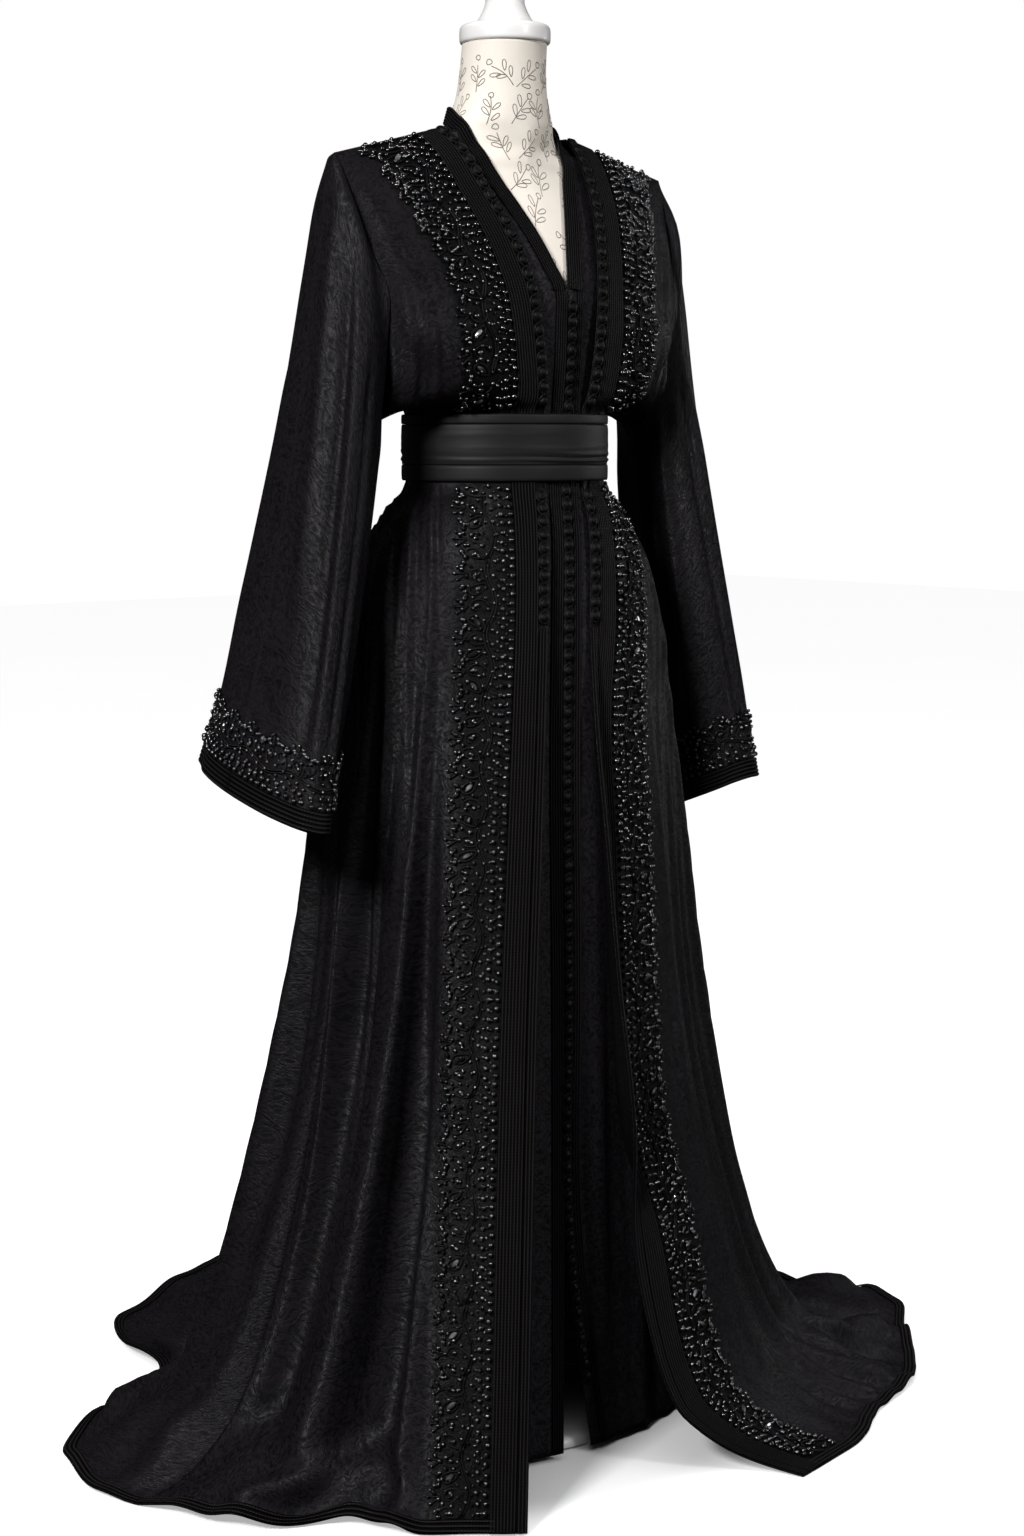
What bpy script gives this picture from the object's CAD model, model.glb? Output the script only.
"""A black takchita on a dress form: open outer gown with a train, under-gown, satin belt, braid and beadwork.

Sizes in the tables are millimetres; meshes are made in metres, in the part's own frame: the front faces -Y,
the wearer's right is -X and +Z is up. Every cloth piece is a grid of points worked out from a few key rows.
"""

import math

import bpy
import numpy as np
from bpy.props import FloatProperty, FloatVectorProperty, IntProperty, PointerProperty
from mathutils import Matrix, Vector


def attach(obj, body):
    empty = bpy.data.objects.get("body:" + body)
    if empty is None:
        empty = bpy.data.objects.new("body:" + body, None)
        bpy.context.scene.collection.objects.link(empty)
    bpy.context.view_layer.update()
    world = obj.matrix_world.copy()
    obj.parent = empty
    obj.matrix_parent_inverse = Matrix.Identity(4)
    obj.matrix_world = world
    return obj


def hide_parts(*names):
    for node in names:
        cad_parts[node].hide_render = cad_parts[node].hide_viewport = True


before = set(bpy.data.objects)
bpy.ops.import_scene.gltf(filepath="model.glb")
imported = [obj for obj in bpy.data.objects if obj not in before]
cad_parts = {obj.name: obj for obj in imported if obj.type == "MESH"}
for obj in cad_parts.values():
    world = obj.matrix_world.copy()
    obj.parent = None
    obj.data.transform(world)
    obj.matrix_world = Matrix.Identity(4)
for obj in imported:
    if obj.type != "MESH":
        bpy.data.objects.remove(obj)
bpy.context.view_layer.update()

bl_info = {
    "name": "Takchita on a dress form",
    "version": (1, 0, 0),
    "blender": (4, 5, 0),
    "location": "View3D > Sidebar > Gown",
    "description": "Builds a layered ceremonial gown with a train, braid, knotted buttons and beadwork",
    "category": "Object",
}

MM = 0.001
BODY = "root"

# ------------------------------------------------------------------ sizes of the gown, in millimetres
CLOTH = 1.6
SEAM = 0.35
TRIM_GAP = 0.5
LAYER = 0.8
EASE = 4.0
WAIST_SIDE = 116.4
WAIST_DEPTH = 101.4
BELT_TOP = 1199.0
BELT_BOTTOM = 1124.0
BELT_MARGIN = 4.0
BELT_GAP = 0.7
BELT_WALL = 2.2
BELT_EDGE_TOP = 11.0
BELT_EDGE_BOTTOM = 18.0
SHOULDER_X = 240.0
SHOULDER_Z = 1480.0
NECK_X = 92.0
NECK_Z = 1518.0
CHEST_Z = 1330.0
CHEST_SIDE = 250.0
CHEST_FRONT = 112.0
CHEST_BACK = 105.0
FRONT_FULLNESS = 1.35
BACK_FULLNESS = 3.2
BACK_NECK_TURN = 42.0
ARMHOLE_X = 212.0
BUTTON_WIDTH = 12.0
BRAID_WIDTH = 30.0
BAND_START = BUTTON_WIDTH + BRAID_WIDTH
BAND_END = 110.0
BUTTONS_END = 960.0
CENTRE_BUTTONS_END = 90.0
HEM_BRAID = 16.0
HEM_HEIGHT = 2.4
CUFF_BRAID = 24.0
CUFF_BEADS = 68.0
SKIRT_TOP = BELT_BOTTOM - BELT_MARGIN
BODICE_FOOT = BELT_TOP + BELT_MARGIN
UNDER_SIDE = WAIST_SIDE + LAYER + CLOTH
UNDER_DEPTH = WAIST_DEPTH + LAYER + CLOTH
OVER_SIDE = UNDER_SIDE + LAYER + CLOTH
OVER_DEPTH = UNDER_DEPTH + LAYER + CLOTH
FOOT_HEIGHT = 150.0
FOOT_STEPS = 8
FRONT_ROW, BACK_ROW, PATCH_ROW, SLEEVE_ROW, UNDER_ROW = 9.0, 12.0, 3.0, 7.5, 10.0  # distance between grid rows
PATCH_ACROSS = np.arange(0, 142, 2.5)
UNDER_ACROSS = np.arange(0, 27.5, 1.25)
PANEL_COLUMNS, PANEL_FIXED, BACK_COLUMNS, SLEEVE_COLUMNS, UNDER_COLUMNS = 92, 30, 72, 104, 40
HEM_ROWS, HEM_REACH, HEM_STEPS = 24, 22.0, 12
CUFF_ROWS, CUFF_REACH, CUFF_STEPS = 26, 108.0, 44
BRAID_STEP = 6.0
RIB_UV = 5.0
SLEEVE_COLUMN_UV = 4.0
SIDES = (("right", -1), ("left", 1))
SIDE_NAMES = {side: label for label, side in SIDES}
PANELS = {"right": (-1, True), "left": (1, True), "back_right": (-1, False), "back_left": (1, False)}


def table(names, rows):
    """Columns of a table as arrays, in rising order of the first one."""
    data = np.array(rows, float)
    data = data[np.argsort(data[:, 0], kind="stable")]
    return {name: data[:, i] for i, name in enumerate(names.split())}


SKIRT = table("height side front back trail", [
    (SKIRT_TOP, OVER_SIDE, OVER_DEPTH, OVER_DEPTH, 0), (1085, 150, 118, 122, 0), (1040, 181, 128, 140, 0),
    (975, 207, 139, 158, 0), (860, 216, 155, 178, 0), (720, 226, 169, 188, 0.01), (560, 237, 182, 210, 0.02),
    (400, 262, 199, 236, 0.04), (260, 290, 217, 268, 0.08), (FOOT_HEIGHT, 311, 231, 294, 0.16),
    (80, 324, 238, 309, 0.29), (38, 331, 242, 316, 0.48), (15, 334, 244, 319, 0.66), (5, 335, 245, 320, 0.84),
    (HEM_HEIGHT, 335, 245, 320, 1),
])
HEM = table("angle radius", [
    (-180, 662), (-161, 606), (-152, 520), (-144, 446), (-132, 452), (-113, 526), (-93, 496), (-80, 451),
    (-67, 388), (-50, 370), (-36, 368), (-15, 379), (18, 400), (34, 424), (49, 464), (62, 526), (71, 572),
    (78, 598), (85, 636), (100, 626), (125, 590), (157, 642), (180, 662),
])
RIGHT_EDGE_TOP = (-28.0, -OVER_DEPTH)
RIGHT_EDGE_HEM = (-214.0, -293.0)
LEFT_EDGE = table("height angle", [
    (SKIRT_TOP, 14.7), (1040, 9), (975, 4), (860, -2), (720, -2), (560, -1.5), (400, -1), (260, 0.2),
    (150, 1.6), (80, 4), (38, 10), (15, 15), (5, 17.5), (HEM_HEIGHT, 18),
])
LEAN_ANGLE, LEAN_SPREAD, LEAN_DEPTH, LEAN_TOP = -36.0, 40.0, 96.0, 1090.0
SKIRT_FOLDS = [  # angle, width, depth, top
    (-54, 6, 8, 1080), (-66, 6, -9, 1040), (-78, 7, 11, 1080), (-90, 7, -8, 980), (-102, 8, 12, 1060),
    (-118, 8, 10, 900), (-134, 9, -12, 1040), (-152, 9, 12, 1080), (-168, 9, -12, 1060), (176, 9, 12, 1080),
    (160, 9, -11, 1000), (144, 9, 12, 1070), (128, 9, -12, 1040), (112, 9, 11, 1080), (97, 8, -8, 1000),
    (84, 7, 10, 1070), (72, 7, -9, 980), (60, 6, 4, 1000), (48, 6, -8, 1060), (36, 6, 5, 900),
]
BODICE = [  # edge x, y, z and side x, y, z of each row
    (41, 112.5, 1298, 206, 48, 1272), (37, 113, 1266, 200, 32, 1222), (33, 112, 1238, 195, 0.2, 1188),
    (30, 109, 1216, 148, 0.2, 1204), (28, OVER_DEPTH, BODICE_FOOT, OVER_SIDE, 0.2, BODICE_FOOT),
]
NECK_EDGE = table("turn x", [(0, 92), (20, 86), (44, 74), (61, 59), (72, 53), (90, 45)])
SHOULDER_TURNS = [0, 20, 43, 67, 90]
ARMHOLE_ROW = len(SHOULDER_TURNS) + 2
SLEEVE_NAMES = "station outer_x outer_z inner_x inner_z half fall"
SLEEVE_RIGHT = table(SLEEVE_NAMES, [
    (0, 249, 1452, 200, 1180, 58, 0), (1, 261, 1390, 209, 1163, 64, 0), (2, 274, 1305, 221, 1125, 71, 2),
    (3, 290, 1205, 234, 1068, 78, 6), (4, 310, 1100, 249, 1000, 85, 12), (5, 333, 990, 266, 925, 93, 18),
    (6, 360, 881, 283, 852, 101, 25), (7, 389, 789, 299, 777, 110, 30),
])
SLEEVE_LEFT = table(SLEEVE_NAMES, [
    (0, 246, 1452, 198, 1180, 52, 0), (1, 250, 1385, 204, 1162, 56, 0), (2, 258, 1295, 212, 1120, 62, -2),
    (3, 270, 1190, 222, 1058, 69, -6), (4, 286, 1078, 234, 984, 76, -13), (5, 304, 962, 247, 902, 84, -21),
    (6, 325, 843, 260, 812, 92, -29), (7, 346, 730, 272, 716, 100, -36),
])
SLEEVE_FOLDS = [(70, 22, 5), (115, 20, -5), (250, 24, 5), (300, 20, -4)]  # degrees round, width, depth
FORM = table("height side front back round", [
    (1616, 48.5, 47, 50, 2), (1585, 49.5, 43, 56, 2), (1562, 52, 42, 61, 2), (1545, 56, 42, 66, 2),
    (1530, 62, 42.5, 69, 1.9), (1515, 70, 43, 71, 1.5), (1497, 96, 42, 72, 1.2), (1478, 143, 42, 72.5, 1.4),
    (1460, 158, 47, 76, 1.55), (1430, 154, 62, 82, 1.75), (1395, 147, 79, 88, 2), (1360, 142, 94, 92, 2),
    (1335, 137, 103, 95, 2), (1300, 128, 103, 96, 2), (1265, 121, 102, 96, 2),
    (1210, WAIST_SIDE, WAIST_DEPTH, WAIST_DEPTH, 2),
    (1115, WAIST_SIDE, WAIST_DEPTH, WAIST_DEPTH, 2), (1060, 138, 108, 112, 2), (1000, 158, 118, 126, 2),
    (930, 162, 120, 130, 2), (880, 150, 112, 122, 2),
])
UNDER_SKIRT = table("height side front back", [
    (1060, 144, 117, 121), (980, 172, 133, 139), (820, 193, 149, 155), (560, 214, 159, 180),
    (280, 232, 165, 201), (8, 252, 170, 225),
])
UNDER_NECK = table("height x", [
    (1530, 66), (1515, 64), (1497, 60), (1478, 54), (1460, 47), (1430, 34.5), (1395, 20), (1360, 8.4),
    (1335, 1.2), (1265, 0.3),
])
UNDER_EASE = table("height ease", [
    (1560, 2.5), (1515, 3), (1478, EASE), (1300, EASE), (1265, 3.6), (1210, LAYER), (1115, LAYER),
])
UNDER_ROWS = [1530, 1515, 1497, 1478, 1460, 1430, 1395, 1360, 1335, 1300, 1265, 1210, 1115,
              1060, 980, 820, 560, 280, 8]
UNDER_BODICE_FOOT = 1115
ARMHOLE_BOTTOM, ARMHOLE_TOP, ARMHOLE_CUT = 1265.0, 1460.0, 17.0
UNDER_CENTRE = table("height x", [(1335, 0), (1162, -2), (860, -38), (8, -52)])
SLIT_TOP, SLIT_WIDTH = 150.0, 14.0
V_ROW = UNDER_ROWS.index(1335)
NECK_TOP, TORSO_FOOT = 1616.0, 880.0
POLE_RADIUS, BASE_RADIUS, BASE_HEIGHT = 16.0, 150.0, 14.0
CAP_PROFILE = [(50, 1616.3), (52, 1619), (52, 1633), (49, 1637), (36, 1639), (31, 1643), (26, 1652),
               (22, 1662), (23, 1672), (32, 1684), (36, 1698), (33, 1712), (22, 1723), (9, 1728), (0.5, 1728.5)]


# ------------------------------------------------------------------ mathematics of the surfaces
def read(rows, name, at):
    """Cubic value between a table's rows; slopes are harmonic means of the secants, so nothing overshoots."""
    keys, values = next(iter(rows.values())), rows[name]
    at = np.clip(np.asarray(at, float), keys[0], keys[-1])
    i = np.clip(np.searchsorted(keys, at) - 1, 0, len(keys) - 2)
    secant = np.diff(values) / np.diff(keys)
    product = secant[:-1] * secant[1:]
    total = np.where(product > 0, secant[:-1] + secant[1:], 1)
    slope = np.concatenate([[0], np.where(product > 0, 2 * product / total, 0), [0]])
    step = keys[i + 1] - keys[i]
    t = (at - keys[i]) / step
    m0 = np.where(i == 0, secant[i], slope[i]) * step
    m1 = np.where(i == len(keys) - 2, secant[i], slope[i + 1]) * step
    return (values[i] * (2 * t**3 - 3 * t**2 + 1) + m0 * (t**3 - 2 * t**2 + t)
            + values[i + 1] * (3 * t**2 - 2 * t**3) + m1 * (t**3 - t**2))


def mix(a, b, t):
    return a + (b - a) * t


def bell(x):
    return np.exp(-x * x)


def wrapped(angle):
    """Degrees brought between -180 and 180."""
    return (angle + 180) % 360 - 180


def stack(x, y, z):
    return np.stack(np.broadcast_arrays(x, y, z), -1).astype(float)


def polar(angle, radius, height):
    """Point at a turn from the front towards the wearer's left: x = r sin a, y = -r cos a."""
    a = np.radians(angle)
    return stack(radius * np.sin(a), -radius * np.cos(a), height)


def section_radius(angle, side, front, back, roundness=2.0):
    """Radius of a superellipse with its own depth in front and behind."""
    s, c = np.abs(np.sin(np.radians(angle))), np.cos(np.radians(angle))
    depth = np.where(c >= 0, front, back)
    return ((s / side) ** roundness + (np.abs(c) / depth) ** roundness) ** (-1 / roundness)


def skirt_point(angle, height):
    """Outer skirt: an elliptic cone, plus a lean of the right front, soft folds and the train's reach."""
    own = wrapped(np.asarray(angle, float))
    side, front, rear, trail = (read(SKIRT, n, height) for n in ("side", "front", "back", "trail"))
    spread = np.where(own < LEAN_ANGLE, LEAN_SPREAD / 2, LEAN_SPREAD)
    lean = np.where(own < 0, LEAN_DEPTH * bell((own - LEAN_ANGLE) / spread), 0)
    foot = section_radius(own, SKIRT["side"][0], SKIRT["front"][0], SKIRT["back"][0])
    reach = np.maximum(0, read(HEM, "radius", own) - foot - lean)
    fold = 0
    for at, width, depth, top in SKIRT_FOLDS:
        grown = np.sin(np.clip(1 - height / top, 0, 1) * np.pi / 2)
        fold = fold + depth * bell(wrapped(own - at) / width) * grown
    swing = lean * np.maximum(0, 1 - height / LEAN_TOP)
    return polar(own, section_radius(own, side, front, rear) + swing + reach * trail + fold, height)


def foot_height(angle, share):
    """Height at which a share of the foot's own length is used up, from FOOT_HEIGHT down to the hem."""
    steps = 24
    fall = (1 - np.arange(steps + 1) / steps) ** 2
    heights = (HEM_HEIGHT + (FOOT_HEIGHT - HEM_HEIGHT) * fall)[:, None]
    points = skirt_point(np.asarray(angle)[None, :], heights)
    length = np.linalg.norm(np.diff(points, axis=0), axis=2)
    length = np.concatenate([np.zeros((1, length.shape[1])), np.cumsum(length, 0)])
    target = share * length[-1]
    i = np.clip((length < target).sum(0) - 1, 0, steps - 1)
    columns = np.arange(length.shape[1])
    within = (target - length[i, columns]) / (length[i + 1, columns] - length[i, columns])
    return mix(heights[i, 0], heights[i + 1, 0], within)


def edge_angle(side, height):
    """Turn of the outer gown's front edge: a table on the left, a straight line in plan on the right."""
    if side > 0:
        return read(LEFT_EDGE, "angle", height)
    t = (SKIRT_TOP - height) / SKIRT_TOP
    x, y = (mix(RIGHT_EDGE_TOP[i], RIGHT_EDGE_HEM[i], t) for i in (0, 1))
    return np.degrees(np.arctan2(x, -y))


def skirt_row(side, front, height, share, t):
    """A skirt row at a height, or at a share of the foot's length, from its edge or middle to its side."""
    start = side * 180.0
    if front:
        own = FOOT_HEIGHT if share else height
        start = edge_angle(side, own)
        for _ in range(4):
            own = foot_height(np.array([start]), share)[0] if share else height
            start = edge_angle(side, own)
    angle = mix(start, side * 95.0, t)
    return skirt_point(angle, foot_height(angle, share) if share else np.full_like(angle, height))


def armhole_x(turn):
    return SHOULDER_X - (SHOULDER_X - ARMHOLE_X) * (turn / 90) ** 1.5


def shoulder_point(x, turn, front):
    """Shoulder: a superellipse arch from the shoulder line (0 degrees) to the chest (90)."""
    power = 2 / (FRONT_FULLNESS if front else BACK_FULLNESS)
    deep = (CHEST_FRONT if front else CHEST_BACK) * np.sqrt(1 - (x / CHEST_SIDE) ** 2)
    a = np.radians(turn)
    y = deep * np.maximum(0, np.sin(a)) ** power
    ridge = NECK_Z + (NECK_Z - SHOULDER_Z) * (NECK_X - x) / (SHOULDER_X - NECK_X)
    return stack(x, -y if front else y, CHEST_Z + (ridge - CHEST_Z) * np.maximum(0, np.cos(a)) ** power)


def bodice_row(side, front, row, t, down=0.0):
    """Bodice row: a quarter ellipse from the front edge to the side."""
    edge_x, edge_y, edge_z, side_x, side_y, side_z = row
    if not front:
        edge_x = 0
        edge_y *= CHEST_BACK / CHEST_FRONT if edge_z > BELT_TOP + 30 else 1
    full = edge_z <= BODICE_FOOT
    start = math.asin(edge_x / side_x) / (math.pi / 2) if full else 0
    turn = mix(start, 1, t) * (np.pi / 2)
    x = side_x * np.sin(turn) if full else edge_x + (side_x - edge_x) * np.sin(turn)
    y = edge_y * np.cos(turn) if full else side_y + (edge_y - side_y) * np.cos(turn)
    z = mix(edge_z, side_z, t**1.5) - down
    return stack(side * x, -y if front else y, z)


ROW_SAMPLES = 301


def gown_rows(side, front):
    """All key rows of one front, or of half the back, as points from the edge or middle to the side."""
    t = np.linspace(0, 1, ROW_SAMPLES)
    rows = []
    for turn in SHOULDER_TURNS:
        if front:
            edge = read(NECK_EDGE, "x", turn)
            point = shoulder_point(mix(edge, armhole_x(turn), t), turn, True)
        else:
            opening = BACK_NECK_TURN * np.sqrt(np.maximum(0, 1 - (t * SHOULDER_X / NECK_X) ** 2))
            own = mix(opening, 90, turn / 90)
            point = shoulder_point(t * armhole_x(own), own, False)
        rows.append(point * [side, 1, 1])
    rows += [bodice_row(side, front, row, t) for row in BODICE]
    rows.append(bodice_row(side, front, BODICE[-1], t, (BODICE_FOOT - SKIRT_TOP) / 2))
    level = [h for h in SKIRT["height"][::-1] if h >= FOOT_HEIGHT]
    rows += [skirt_row(side, front, h, 0, t) for h in level]
    rows += [skirt_row(side, front, 0, (i + 1) / FOOT_STEPS, t) for i in range(FOOT_STEPS)]
    return np.array(rows)


BELT_ROWS = [len(SHOULDER_TURNS) + len(BODICE) - 1 + i for i in range(3)]


def row_lengths(rows):
    """Running length along each key row."""
    step = np.linalg.norm(np.diff(rows, axis=1), axis=2)
    return np.concatenate([np.zeros((len(rows), 1)), np.cumsum(step, 1)], 1)


def line_length(line):
    """Running length along one line of points."""
    return np.concatenate([[0], np.cumsum(np.linalg.norm(np.diff(line, axis=0), axis=1))])


def between_rows(at, values):
    """Values of each column, known at the key rows, read at fractional rows."""
    index = np.arange(len(values))
    return np.stack([np.interp(at, index, values[:, c]) for c in range(values.shape[1])], 1)


def along(rows, stops):
    """Points at distances stops (rows, columns) along each key row."""
    lengths = row_lengths(rows)
    out = np.empty(stops.shape + (3,))
    for k in range(len(rows)):
        for axis in range(3):
            out[k, :, axis] = np.interp(stops[k], lengths[k], rows[k, :, axis])
    return out


def down(keys, at, level=()):
    """Cubic curves down the columns of key rows, read at fractional rows; rows in level run straight down."""
    step = np.maximum(np.linalg.norm(np.diff(keys, axis=0), axis=2, keepdims=True), 1e-6)
    secant = np.diff(keys, axis=0) / step
    tangent = np.empty_like(keys)
    tangent[0], tangent[-1] = secant[0], secant[-1]
    tangent[1:-1] = (secant[:-1] * step[1:] + secant[1:] * step[:-1]) / (step[1:] + step[:-1])
    for k in level:
        tangent[k, :, :2] = 0
    at = np.asarray(at, float)
    i = np.clip(np.floor(at).astype(int), 0, len(keys) - 2)
    t = (at - i)[:, None, None]
    return (keys[i] * (2 * t**3 - 3 * t**2 + 1) + tangent[i] * step[i] * (t**3 - 2 * t**2 + t)
            + keys[i + 1] * (3 * t**2 - 2 * t**3) + tangent[i + 1] * step[i] * (t**3 - t**2))


def even_rows(keys, column, spacing, level=()):
    """Fractional rows an even distance apart down one column, and that distance from the first."""
    fine = np.linspace(0, len(keys) - 1, 1600)
    length = line_length(down(keys[:, column:column + 1], fine, level)[:, 0])
    count = max(2, int(round(length[-1] / spacing)) + 1)
    target = np.linspace(0, length[-1], count)
    return np.interp(target, length, fine), target


def normals_of(points, wrap=False, inside=None):
    """Unit normals of a grid of points, turned away from the middle axis or from the given inner points."""
    if wrap:
        across = np.roll(points, -1, 1) - np.roll(points, 1, 1)
    else:
        across = np.gradient(points, axis=1)
    normal = np.cross(across, np.gradient(points, axis=0))
    normal /= np.maximum(np.linalg.norm(normal, axis=2, keepdims=True), 1e-9)
    if inside is None:
        inside = points * [0, 0, 1] - [0, 0, 60]
    sign = np.sign((normal * (points - inside)).sum(2).mean())
    return normal * sign


class Patch:
    """A fine grid of points with normals: cloth that trims can be laid on, by row and column in steps."""

    def __init__(self, points, across, length, normals=None, rows=None):
        self.points, self.across, self.length = points, np.asarray(across, float), np.asarray(length, float)
        self.normals = normals_of(points) if normals is None else normals
        self.rows = rows

    def at(self, across, length, lift):
        """Points and normals at distances across and along the patch, raised by lift; bilinear between points."""
        c = np.interp(across, self.across, np.arange(len(self.across)))
        r = np.interp(length, self.length, np.arange(len(self.length)))
        c0 = np.clip(np.floor(c).astype(int), 0, len(self.across) - 2)
        r0 = np.clip(np.floor(r).astype(int), 0, len(self.length) - 2)
        u, v = (r - r0)[..., None], (c - c0)[..., None]

        def blend(field):
            return ((field[r0, c0] * (1 - u) + field[r0 + 1, c0] * u) * (1 - v)
                    + (field[r0, c0 + 1] * (1 - u) + field[r0 + 1, c0 + 1] * u) * v)

        normal = blend(self.normals)
        normal /= np.maximum(np.linalg.norm(normal, axis=-1, keepdims=True), 1e-9)
        return blend(self.points) + normal * np.asarray(lift)[..., None], normal


# ------------------------------------------------------------------ meshes
def grid_faces(rows, columns, wrap=False):
    """Quads of a grid whose points are numbered row by row."""
    last = columns if wrap else columns - 1
    r, c = np.meshgrid(np.arange(rows - 1), np.arange(last), indexing="ij")
    n = (c + 1) % columns
    corners = r * columns + c, r * columns + n, (r + 1) * columns + n, (r + 1) * columns + c
    return np.stack(corners, -1).reshape(-1, 4)


def make_mesh(name, points, faces, material, uv=None, smooth=True):
    """An object from points in mm and faces of equal size; uv is a value for each point."""
    mesh = bpy.data.meshes.new(name)
    points = np.asarray(points, float).reshape(-1, 3) * MM
    faces = np.asarray(faces, np.int32)
    corners = faces.shape[1]
    mesh.vertices.add(len(points))
    mesh.vertices.foreach_set("co", points.astype(np.float32).ravel())
    mesh.loops.add(faces.size)
    mesh.loops.foreach_set("vertex_index", faces.ravel())
    mesh.polygons.add(len(faces))
    mesh.polygons.foreach_set("loop_start", np.arange(0, faces.size, corners, dtype=np.int32))
    mesh.polygons.foreach_set("use_smooth", np.full(len(faces), smooth))
    mesh.update(calc_edges=True)
    if uv is not None:
        layer = mesh.uv_layers.new(name="UVMap")
        layer.data.foreach_set("uv", np.asarray(uv, float).reshape(-1, 2)[faces.ravel()].astype(np.float32).ravel())
    mesh.validate()
    mesh.materials.append(material)
    obj = bpy.data.objects.new(name, mesh)
    bpy.context.scene.collection.objects.link(obj)
    return obj


def oriented(points, faces, normals, count=None):
    """Faces wound so that they, or the first count of them, look along the points' normals."""
    p = np.asarray(points).reshape(-1, 3)
    n = np.asarray(normals).reshape(-1, 3)
    body = faces[:count]
    face = np.cross(p[body[:, 2]] - p[body[:, 0]], p[body[:, 3]] - p[body[:, 1]])
    return faces if (face * n[body[:, 0]]).sum() > 0 else faces[:, ::-1]


def uv_of(across, length):
    """UV in units of 100 mm: u runs across the cloth, v down it."""
    u, v = np.broadcast_arrays(across, length)
    return np.stack([u, v], -1) / 100.0


def cloth_piece(name, points, normals, uv, material, wrap=False):
    """A thin shell of cloth: the grid is its outer face, and Solidify gives the wall inside it."""
    rows, columns = points.shape[:2]
    faces = oriented(points, grid_faces(rows, columns, wrap), normals)
    obj = make_mesh(name, points, faces, material, uv)
    wall = obj.modifiers.new("Wall", "SOLIDIFY")
    wall.thickness = bpy.context.scene.gown_sizes.cloth
    wall.offset = -1
    wall.use_even_offset = False
    return obj


def end_caps(rows, ring):
    """Rows of quads that close both ends of a tube."""
    half = np.arange(ring // 2 - 1)
    cap = np.stack([half, half + 1, ring - 2 - half, ring - 1 - half], 1)
    return np.concatenate([cap[:, ::-1], cap + (rows - 1) * ring])


def tube_mesh(sections, closed_path=False):
    """Points and faces of a tube: sections (rows, ring) joined along, then end to end or closed by flat caps."""
    rows, ring = sections.shape[:2]
    faces = grid_faces(rows, ring, True)
    if closed_path:
        base = (rows - 1) * ring
        i = np.arange(ring)
        n = (i + 1) % ring
        faces = np.concatenate([faces, np.stack([base + i, base + n, n, i], 1)])
    else:
        faces = np.concatenate([faces, end_caps(rows, ring)])
    outward = sections - sections.mean(1, keepdims=True)
    return sections.reshape(-1, 3), oriented(sections, faces, outward, (rows - 1) * ring)


def raised_strip(name, patch, across, heights, length, material, ribs=0, closed_path=False):
    """A trim: a relief of heights over stops across the patch, carried along it, with a flat underside.

    With ribs the UV's u counts ribs, 5 mm for each, whatever their true width.
    """
    across, length = np.asarray(across, float), np.asarray(length, float)
    a, l = np.broadcast_arrays(across[None, :], length[:, None])
    flat = patch.at(a, l, np.zeros(a.shape))[0][..., 2]
    covered = np.where((flat > BELT_BOTTOM - 3) & (flat < BELT_TOP + 3), 0.5, 1.0)
    top, _ = patch.at(a, l, TRIM_GAP + np.broadcast_to(heights, a.shape) * covered)
    low = np.linspace(across[-1], across[0], 2 + len(across) % 2)
    b, m = np.broadcast_arrays(low[None, :], length[:, None])
    under, _ = patch.at(b, m, np.full(b.shape, TRIM_GAP))
    points, faces = tube_mesh(np.concatenate([top, under], 1), closed_path)
    u = np.concatenate([a, b], 1)
    if ribs:
        u = (u - across[0]) / (across[-1] - across[0]) * ribs * RIB_UV
    return make_mesh(name, points, faces, material, uv_of(u, np.concatenate([l, m], 1)))


def scatter(name, shape, centres, frames, sizes, material, smooth=True):
    """Copies of one small shape: its points are scaled by sizes, turned by frames and moved to centres."""
    points, faces = shape
    scaled = points[None] * sizes[:, None, :]
    placed = np.einsum("nki,nij->nkj", scaled, frames) + centres[:, None, :]
    offsets = (np.arange(len(centres)) * len(points))[:, None, None]
    return make_mesh(name, placed, (faces[None] + offsets).reshape(-1, faces.shape[1]), material, smooth=smooth)


def sphere_shape(segments=8, rings=5, relief=None):
    """Unit ball as quads: rings from pole to pole, poles closed by quads that share a point."""
    lat = np.linspace(0, np.pi, rings + 1)
    lon = np.arange(segments) * 2 * np.pi / segments
    a, b = np.meshgrid(lat[1:-1], lon, indexing="ij")
    r = 1.0 if relief is None else relief(a, b)
    points = np.stack([r * np.sin(a) * np.cos(b), r * np.sin(a) * np.sin(b), r * np.cos(a)], -1).reshape(-1, 3)
    rows = rings - 1
    faces = grid_faces(rows, segments, True)[:, ::-1]
    points = np.concatenate([points, [[0, 0, 1], [0, 0, -1]]])
    top, bottom = len(points) - 2, len(points) - 1
    i = np.arange(0, segments, 2)
    j, k = (i + 1) % segments, (i + 2) % segments
    base = (rows - 1) * segments
    cap_top = np.stack([np.full_like(i, top), i, j, k], 1)
    cap_bottom = np.stack([base + i, np.full_like(i, bottom), base + k, base + j], 1)
    return points, np.concatenate([faces, cap_top, cap_bottom])


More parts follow.
